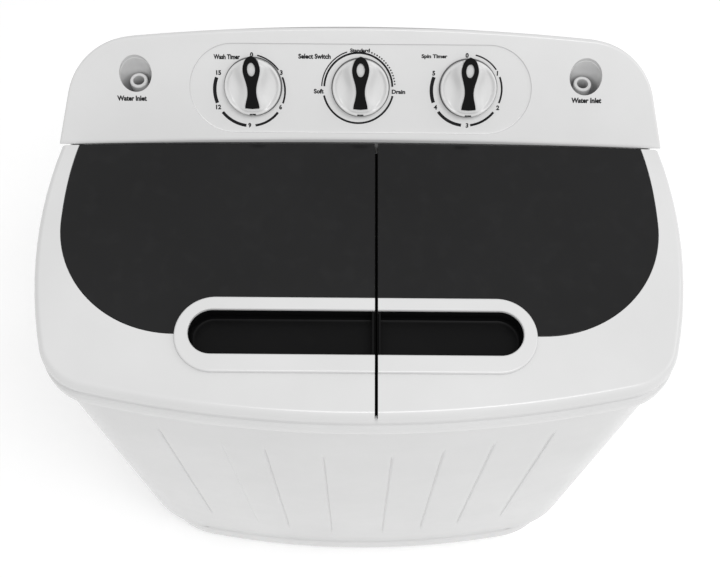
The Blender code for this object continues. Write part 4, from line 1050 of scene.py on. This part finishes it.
def make_lid_frame(side):
    rows = (
        (LID_INSET, 0.5753), (0.0027, 0.5790), (0.0034, 0.5815), (0.0043, 0.5835), (0.0053, 0.5850),
        (0.0064, 0.5862), (0.0076, 0.5870), (0.0087, 0.5874), (0.0098, LID_TOP),
    )
    frame_piece = stepped(f"{side}_lid_shell", rim_outline, rows)
    combine(frame_piece, "INTERSECT", lid_zone("zone", side))
    cut(frame_piece, lid_rear_relief("rear_relief", LID_REAR_INSET, LID_REAR_STEP_Y))
    hollow = prism("hollow", rim_outline(LID_INSET + LID_WALL), 0.500, LID_LEDGE_UNDERSIDE)
    combine(hollow, "INTERSECT", lid_zone("hollow_zone", side, LID_WALL, LID_REAR_GAP + LID_WALL))
    cut(hollow, lid_rear_relief("hollow_relief", LID_REAR_INSET + LID_WALL, LID_REAR_STEP_Y - LID_WALL))
    cut(frame_piece, hollow)
    cut(frame_piece, prism("recess", window_outline(), LID_LEDGE_TOP, 0.620))
    through = prism("through", rim_outline(0.0180), 0.500, 0.620)
    combine(through, "INTERSECT", lid_zone("through_zone", side, 0.0090, 0.0190))
    combine(through, "INTERSECT", prism("through_plan", window_outline(-0.009), 0.480, 0.640))
    cut(frame_piece, through)
    cut(frame_piece, prism("handle_hole", stadium(HANDLE_X, HANDLE_INNER, HANDLE_HOLE_GROWTH), 0.500, 0.620))
    add_hinge_pins(frame_piece, side)
    return piece(frame_piece, f"{side}_lid", "white_shell", WHITE_SHELL, f"{side}_lid_frame")


def add_hinge_pins(frame_piece, side):
    """Notches over the deck's bosses, and a pin from each end wall through the eye beside it."""
    sign = -1 if side == "wash" else 1
    inner_wall = LID_SPLIT + sign * (LID_SPLIT_GAP / 2 + 0.0010)
    notch_top = HINGE_Z + HINGE_BOSS_RADIUS + 0.0005
    spans = hinge_boss_spans()
    for end, wall in (("outer", sign * 0.2815), ("inner", inner_wall)):
        low, high = spans[f"{side}_{end}"]
        near, far = (low - 0.0015, HINGE_Y - 0.0060, 0.560), (high + 0.0015, 0.099, notch_top)
        cut(frame_piece, box(f"notch_{end}", near, far))
        tip = low if wall > high else high
        ends = ((wall, HINGE_Y, HINGE_Z), (tip, HINGE_Y, HINGE_Z))
        combine(frame_piece, "UNION", rod(f"pin_{end}", *ends, HINGE_PIN_RADIUS, steps=24))


def make_lid_window(side):
    low, top = LID_LEDGE_TOP + GAP, LID_TOP
    rows = ((-GAP, low), (-GAP, top - 0.0006), (-0.0006, top - 0.0002), (-0.0012, top))
    window = stepped(f"{side}_lid_glass", window_outline, rows)
    combine(window, "INTERSECT", lid_zone("glass_zone", side, 0.0001, 0.0011))
    cut(window, prism("glass_handle_hole", stadium(HANDLE_X, HANDLE_INNER, HANDLE_HOLE_GROWTH), 0.500, 0.620))
    return piece(window, f"{side}_lid", "dark_window", DARK_WINDOW, f"{side}_lid_window")


def make_split_shade_sheet(side):
    """A thin black sheet on the lid's wall along the split: painted shade that makes the gap between the lids
    read dark.
    """
    sign = -1 if side == "wash" else 1
    wall = LID_SPLIT + sign * LID_SPLIT_GAP / 2
    xs = sorted((wall, wall - sign * SPLIT_SHADE_THICKNESS))
    low_y, high_y = FRONT + 0.0065, console_edge_y(LID_SPLIT) - 0.0040
    foot, top = 0.5757, LID_TOP - 0.0006
    outline = [(low_y, foot), (high_y, foot), (high_y, top), (low_y + 0.0075, top)]
    outline += [(low_y + 0.0030, LID_TOP - 0.0016), (low_y, LID_TOP - 0.0045)]
    shade_sheet = prism_along_x(f"{side}_lid_split_painted_shade", outline, xs[0], xs[1])
    return piece(shade_sheet, f"{side}_lid", "rubber", GAP_SHADE_BLACK)


def make_split_shade_strip():
    """A dark strip on the deck under the split, that both lids' edges close over: painted shade for the
    bottom of the gap.
    """
    outline = [(LID_SPLIT - 0.0030, PLATE_TOP - 0.0002), (LID_SPLIT + 0.0030, PLATE_TOP - 0.0002)]
    outline += [(LID_SPLIT + 0.0026, PLATE_TOP + 0.0006), (LID_SPLIT - 0.0026, PLATE_TOP + 0.0006)]
    rings = [[(x, y, z) for x, z in outline] for y in (FRONT + RIM_WIDTH + 0.0010, 0.0995)]
    return piece(loft("split_painted_shade_strip", rings), "cabinet", "rubber", GAP_SHADE_BLACK)


def make_handle_trim(side):
    low, top = LID_TOP + GAP, HANDLE_TOP
    rows = ((0.0, low), (0.0, top - 0.0014), (-0.0004, top - 0.0006), (-0.0010, top - 0.0002), (-0.0018, top))
    trim = stepped(f"{side}_handle_ring", lambda grow: stadium(HANDLE_X, HANDLE_OUTER, grow), rows)
    rows = (
        (0.0, 0.500), (0.0, top - 0.0012), (0.0003, top - 0.0005), (0.0009, top - 0.0001),
        (0.0014, top + 0.0004),
    )
    cut(trim, stepped("trim_inner", lambda grow: stadium(HANDLE_X, HANDLE_INNER, grow), rows))
    combine(trim, "INTERSECT", lid_zone("trim_zone", side))
    return piece(trim, f"{side}_lid", "white_shell", WHITE_SHELL, f"{side}_lid_handle_trim")


def make_handle_pocket(side):
    pocket = prism(f"{side}_handle_tray", stadium(HANDLE_X, HANDLE_INNER, 0.0020), POCKET_FLOOR, LID_TOP)
    combine(pocket, "INTERSECT", lid_zone("tray_zone", side, 0.0006))
    floor = POCKET_FLOOR + 0.0016
    rows = (
        (-0.0040, floor), (-0.0018, floor + 0.0006), (-0.0004, floor + 0.0022), (0.0002, floor + 0.0050),
        (0.0002, 0.620),
    )
    hollow = stepped("tray_hollow", lambda grow: stadium(HANDLE_X, HANDLE_INNER, grow), rows)
    combine(hollow, "INTERSECT", lid_zone("tray_hollow_zone", side, 0.0024))
    cut(pocket, hollow)
    return piece(pocket, f"{side}_lid", "black_trim", BLACK_TRIM, f"{side}_lid_handle_pocket")


# ---- Tubs ----
def ribbed(outline, centre, depth, pitch=0.026, width=0.0032):
    """An outline with small beads pressed inwards at even steps along it."""
    travelled, moved = 0.0, []
    for i, (x, y) in enumerate(outline):
        before = Vector(outline[i - 1])
        if i:
            travelled += (Vector((x, y)) - before).length
        offset = abs((travelled + pitch / 2) % pitch - pitch / 2)
        bead = depth * 0.5 * (1.0 + math.cos(math.pi * offset / width)) if offset < width else 0.0
        inward = (Vector(centre) - Vector((x, y))).normalized()
        moved.append((x + inward.x * bead, y + inward.y * bead))
    return moved


def spread_evenly(outline, count):
    """The same closed outline with its points at even steps."""
    points = [Vector(p) for p in outline]
    lengths = [(points[(i + 1) % len(points)] - points[i]).length for i in range(len(points))]
    step = sum(lengths) / count
    spread, i, start = [], 0, 0.0
    for k in range(count):
        reach = k * step
        while start + lengths[i] < reach:
            start += lengths[i]
            i += 1
        share = (reach - start) / lengths[i]
        spread.append(tuple(points[i].lerp(points[(i + 1) % len(points)], share)))
    return spread


def make_wash_tub():
    width, depth, radius = WASH_OPENING
    floor = WASH_TUB_FLOOR
    rows = [(floor, 0.052), (floor + 0.0003, 0.040), (floor + 0.0018, 0.033), (floor + 0.0045, 0.0275)]
    rows += [(floor + 0.0090, 0.0225), (floor + 0.0140, 0.0185), (floor + 0.0200, 0.0150)]
    straight, mouth = 0.252, 0.548
    rows += [(straight + (mouth - straight) * i / 24, 0.0150 * (1.0 - i / 24)) for i in range(1, 25)]
    rows += [(0.5540, 0.0), (0.5563, -0.0014), (0.5570, -0.0040), (0.5570, -0.0100)]
    rings = []
    for z, shrink in rows:
        outline = rounded_rectangle(WASH_CENTRE, width - shrink, depth - shrink, radius - shrink / 3)
        fade = smoothstep(0.262, 0.285, z) * (1.0 - smoothstep(0.500, 0.520, z))
        rings.append(at_height(ribbed(spread_evenly(outline, 420), WASH_CENTRE, 0.0010 * fade), z))
    tub = loft("wash_tub_moulding", rings, caps=False)
    bm = bmesh.new()
    bm.from_mesh(tub.data)
    bm.verts.ensure_lookup_table()
    bm.faces.new(list(reversed(bm.verts[: len(rings[0])])))
    bm.to_mesh(tub.data)
    bm.free()
    wall = tub.modifiers.new("wall", "SOLIDIFY")
    wall.thickness = TUB_WALL - 0.0003
    wall.offset = 1.0
    apply_modifiers(tub)
    for name, (x, y), hole in (("bearing", WASH_CENTRE, 0.0162), ("drain", DRAIN_CENTRE, 0.0085)):
        cut(tub, rod(f"tub_{name}_hole", (x, y, 0.220), (x, y, 0.240), hole))
    return piece(tub, "cabinet", "tub_plastic", TUB_PLASTIC, "wash_tub")


def pulsator_height(radius, angle):
    """The agitator's top: a hub, a dished plate, and four swept fins that fade out towards the rim."""
    share = radius / PULSATOR_RADIUS
    hub = 0.0185 * math.exp(-((radius / 0.0165) ** 2.6))
    plate = 0.0058 + 0.0026 * (1.0 - share) + 0.0022 * smoothstep(0.86, 0.95, share)
    sweep = angle - 1.1 * share - math.radians(20.0)
    aside = abs(math.sin(2.0 * sweep)) / 2.0 * radius
    fin = math.exp(-((aside / (0.0030 + 0.0035 * share)) ** 2)) * (1.0 - smoothstep(0.74, 0.90, share))
    edge = 0.0030 * smoothstep(0.965, 1.0, share)
    return plate + hub + (0.0105 - 0.0045 * share) * fin * smoothstep(0.05, 0.16, share) - edge


def make_pulsator():
    steps, rings = 144, 40
    low = WASH_TUB_FLOOR + 0.0035
    x, y = WASH_CENTRE
    rows = [[(x, y, low + pulsator_height(0.0, 0.0))]]
    for ring in range(1, rings + 1):
        radius = PULSATOR_RADIUS * ring / rings
        row = []
        for i in range(steps):
            angle = 2 * math.pi * i / steps
            height = low + pulsator_height(radius, angle)
            row.append((x + radius * math.cos(angle), y + radius * math.sin(angle), height))
        rows.append(row)
    bore, bore_top = 0.0056, 0.0100
    underside = ((PULSATOR_RADIUS, 0.0010), (PULSATOR_RADIUS - 0.003, 0.0), (bore, 0.0), (bore, bore_top))
    for radius, height in underside:
        rows.append(at_height(circle(WASH_CENTRE, radius, steps), low + height))
    rows.append([(x, y, low + bore_top)])
    plate = loft("pulsator_plate", rows)
    return piece(plate, "pulsator_drive", "tub_plastic", TUB_PLASTIC, "pulsator", sharp=50.0)


def make_basket():
    """The spin basket: a turned drum with rows of drain holes and a rolled balance ring at its mouth."""
    r, low, top = BASKET_RADIUS, BASKET_FLOOR, BASKET_TOP
    wall = 0.0022
    bore = 0.0086
    profile = [
        (r + 0.0050, top), (r + 0.0060, top - 0.0012), (r + 0.0060, top - 0.0185), (r + 0.0050, top - 0.0205),
        (r + 0.0012, top - 0.0228), (r, top - 0.0245), (r, low + 0.0120), (r - 0.0012, low + 0.0060),
        (r - 0.0050, low + 0.0018), (r - 0.0120, low), (bore, low), (bore, low + 0.0360),
        (0.0120, low + 0.0358), (0.0150, low + 0.0340), (0.0180, low + 0.0220), (0.0215, low + 0.0120),
        (0.0290, low + 0.0060), (r - 0.0160, low + 0.0030), (r - 0.0080, low + 0.0040),
        (r - wall - 0.0012, low + 0.0080), (r - wall, low + 0.0140), (r - wall, top - 0.0250),
        (r - 0.0040, top - 0.0205), (r - 0.0072, top - 0.0175), (r - 0.0080, top - 0.0150),
        (r - 0.0080, top - 0.0012), (r - 0.0070, top),
    ]
    basket = turned("spin_basket_drum", profile, SPIN_CENTRE, steps=120, closed=True)
    centre = Vector((*SPIN_CENTRE, 0.0))
    holes = []
    for row in range(BASKET_HOLE_ROWS):
        z = low + 0.030 + row * (top - low - 0.075) / (BASKET_HOLE_ROWS - 1)
        for i in range(BASKET_HOLE_COLUMNS):
            angle = 2 * math.pi * (i + 0.5 * (row % 2)) / BASKET_HOLE_COLUMNS
            ray = Vector((math.cos(angle), math.sin(angle), 0.0))
            start = centre + ray * (r - 0.008) + Vector((0.0, 0.0, z))
            holes.append(rod(f"basket_hole_{row}_{i}", start, start + ray * 0.014, 0.0026, steps=10))
    cut(basket, joined("basket_holes", holes))
    return piece(basket, "spin_rotor", "tub_plastic", TUB_PLASTIC, "spin_basket")


# ---- Back and underside ----
def make_service_panel():
    low, high = SERVICE_PLATE
    outline = rounded_rectangle((0.0, (low[2] + high[2]) / 2), high[0] - low[0], high[2] - low[2], 0.008)
    rows = ((0.0, low[1]), (0.0, high[1] - 0.0010), (-0.0003, high[1] - 0.0004), (-0.0010, high[1]))
    rings = [[(x, y, z) for x, z in offset_outline(outline, -grow)] for grow, y in rows]
    panel = loft("service_plate", rings)
    for i in range(SERVICE_SLOTS):
        z = SERVICE_SLOT_FOOT + SERVICE_SLOT_PITCH * i
        slot = rounded_rectangle((0.0, z), 0.140, 0.006, 0.0029, 8)
        cut(panel, loft(f"service_slot_{i}", [[(x, y, z) for x, z in slot] for y in (0.165, 0.180)]))
    return piece(panel, "cabinet", "white_shell", SATIN_WHITE, "rear_service_panel")


def turn_to_rear(obj, place):
    """Lays a piece made upright at the origin down along +Y at this place."""
    obj.data.transform(Matrix.Translation(place) @ Matrix.Rotation(math.radians(-90.0), 4, "X"))


def make_screw(name, x, z, y):
    """A pan-head screw in a back panel, with a cross recess."""
    profile = [(0.0, 0.0), (0.0036, 0.0), (0.0036, 0.0006), (0.0031, 0.0013), (0.0020, 0.0018), (0.0, 0.0020)]
    screw = turned(name, profile, (0.0, 0.0), steps=32)
    for along, across in ((0.0022, 0.0004), (0.0004, 0.0022)):
        cut(screw, box("cross_recess", (-along, -across, 0.0008), (along, across, 0.0030)))
    turn_to_rear(screw, (x, y, z))
    return piece(screw, "cabinet", "steel", STEEL)


def make_rear_fittings():
    profile = [
        (0.0095, 0.0078), (0.0105, 0.0070), (0.0105, 0.0003), (0.0069, 0.0003), (0.0069, -0.0160),
        (0.0040, -0.0160), (0.0040, 0.0070), (0.0048, 0.0078),
    ]
    gland = turned("cord_grommet", profile, (0.0, 0.0), steps=48, closed=True)
    turn_to_rear(gland, (GLAND_X, CASING_REAR, REAR_FITTING_Z))
    piece(gland, "cabinet", "rubber", RUBBER, "cord_gland")
    profile = [
        (0.0104, 0.0080), (0.0112, 0.0072), (0.0112, 0.0056), (0.0105, 0.0046), (0.0105, 0.0036),
        (0.0112, 0.0026), (0.0112, -0.0260), (0.0085, -0.0260), (0.0085, 0.0074), (0.0090, 0.0080),
    ]
    spigot = turned("drain_outlet", profile, (0.0, 0.0), steps=48, closed=True)
    turn_to_rear(spigot, (SPIGOT_X, CASING_REAR, REAR_FITTING_Z))
    piece(spigot, "cabinet", "grey_plastic", GREY_PLASTIC, "drain_spigot")
    places = [(x, z) for z in SERVICE_SCREW_Z for x in (-SERVICE_SCREW_X, SERVICE_SCREW_X)]
    for i, (x, z) in enumerate(places):
        make_screw(f"service_screw_{i}", x, z, SERVICE_PLATE[1][1])


def make_foot(end, side):
    profile = [
        (0.0, 0.0077), (0.0152, 0.0077), (0.0160, 0.0070), (0.0157, 0.0050), (0.0150, 0.0015), (0.0138, 0.0),
        (0.0110, 0.0), (0.0105, 0.0008), (0.0, 0.0008),
    ]
    x = -FOOT_X if side == "left" else FOOT_X
    y = -FOOT_Y if end == "front" else FOOT_Y
    foot = turned(f"rubber_foot_{end}_{side}", profile, (x, y), steps=40)
    return piece(foot, "cabinet", "rubber", RUBBER, f"foot_{end}_{side}")


# ---- Stage ----
LIGHT_AIM = Vector((0.0, 0.0, 0.4))
CAMERA_PLACE = (0.0, -0.426, 1.429)
CAMERA_PITCH = 23.8
CAMERA_ROLL = 0.45
CAMERA_LENS = 51.7
CAMERA_SHIFT = 0.0014


def make_floor():
    bm = bmesh.new()
    bmesh.ops.create_grid(bm, x_segments=1, y_segments=1, size=8.0)
    floor = from_bmesh("studio_floor", bm)
    for vertex in floor.data.vertices:
        vertex.co.z = -0.0005
    paper = surface("pale_floor", (0.93, 0.93, 0.93), 0.75, grain_depth=0.01, variation=0.004, worn_share=0.0)
    shader = paper.node_tree.nodes["Principled BSDF"]
    shader.inputs["Emission Color"].default_value = (1.0, 1.0, 1.0, 1.0)
    shader.inputs["Emission Strength"].default_value = 0.16
    floor.data.materials.append(paper)


def make_light(name, place, size, power):
    """A soft light that faces the middle of the body."""
    data = bpy.data.lights.new(name, "AREA")
    data.shape = "RECTANGLE"
    data.size, data.size_y = size
    data.energy = power
    light = bpy.data.objects.new(name, data)
    light.location = place
    light.rotation_euler = (LIGHT_AIM - light.location).to_track_quat("-Z", "Y").to_euler()
    bpy.context.scene.collection.objects.link(light)


def make_world(strength):
    world = bpy.data.worlds.new("studio_world")
    world.use_nodes = True
    background = world.node_tree.nodes["Background"]
    background.inputs["Color"].default_value = (1.0, 1.0, 1.0, 1.0)
    background.inputs["Strength"].default_value = strength
    bpy.context.scene.world = world


def make_camera():
    data = bpy.data.cameras.new("camera")
    data.sensor_width = 36.0
    data.lens = CAMERA_LENS
    data.clip_end = 50.0
    data.shift_x = CAMERA_SHIFT
    camera = bpy.data.objects.new("camera", data)
    camera.location = CAMERA_PLACE
    pitch = Matrix.Rotation(math.radians(CAMERA_PITCH), 3, "X")
    roll = Matrix.Rotation(math.radians(CAMERA_ROLL), 3, "Z")
    camera.rotation_euler = (pitch @ roll).to_euler()
    bpy.context.scene.collection.objects.link(camera)
    bpy.context.scene.camera = camera


finish_cad_nodes()
make_casing()
make_base()
make_deck()
make_console()
make_back_cover()
make_inlet(-1, "left")
make_inlet(1, "right")
for control_x, control in zip(KNOB_X, ("wash_timer", "selector", "spin_timer")):
    make_knob(f"{control}_dial", control_x, control, f"{control}_knob")
    make_pointer(f"{control}_grip", control_x, control, f"{control}_pointer")
    make_tick(f"{control}_tick", control_x, control)
    make_shadow_ring(f"{control}_shadow_ring", control_x)
make_prints()
for lid in ("wash", "spin"):
    make_lid_frame(lid)
    make_lid_window(lid)
    make_split_shade_sheet(lid)
    make_handle_trim(lid)
    make_handle_pocket(lid)

make_split_shade_strip()
make_wash_tub()
make_pulsator()
make_basket()
make_service_panel()
make_rear_fittings()
for foot_end in ("front", "rear"):
    for foot_side in ("left", "right"):
        make_foot(foot_end, foot_side)

make_floor()
make_world(0.69)
make_light("key_light", place=(0.35, -0.80, 2.75), size=(1.6, 0.8), power=26.0)
make_light("fill_light", place=(2.3, 0.2, 1.7), size=(1.4, 1.4), power=8.0)
make_camera()
bpy.context.scene.view_settings.view_transform = "Standard"
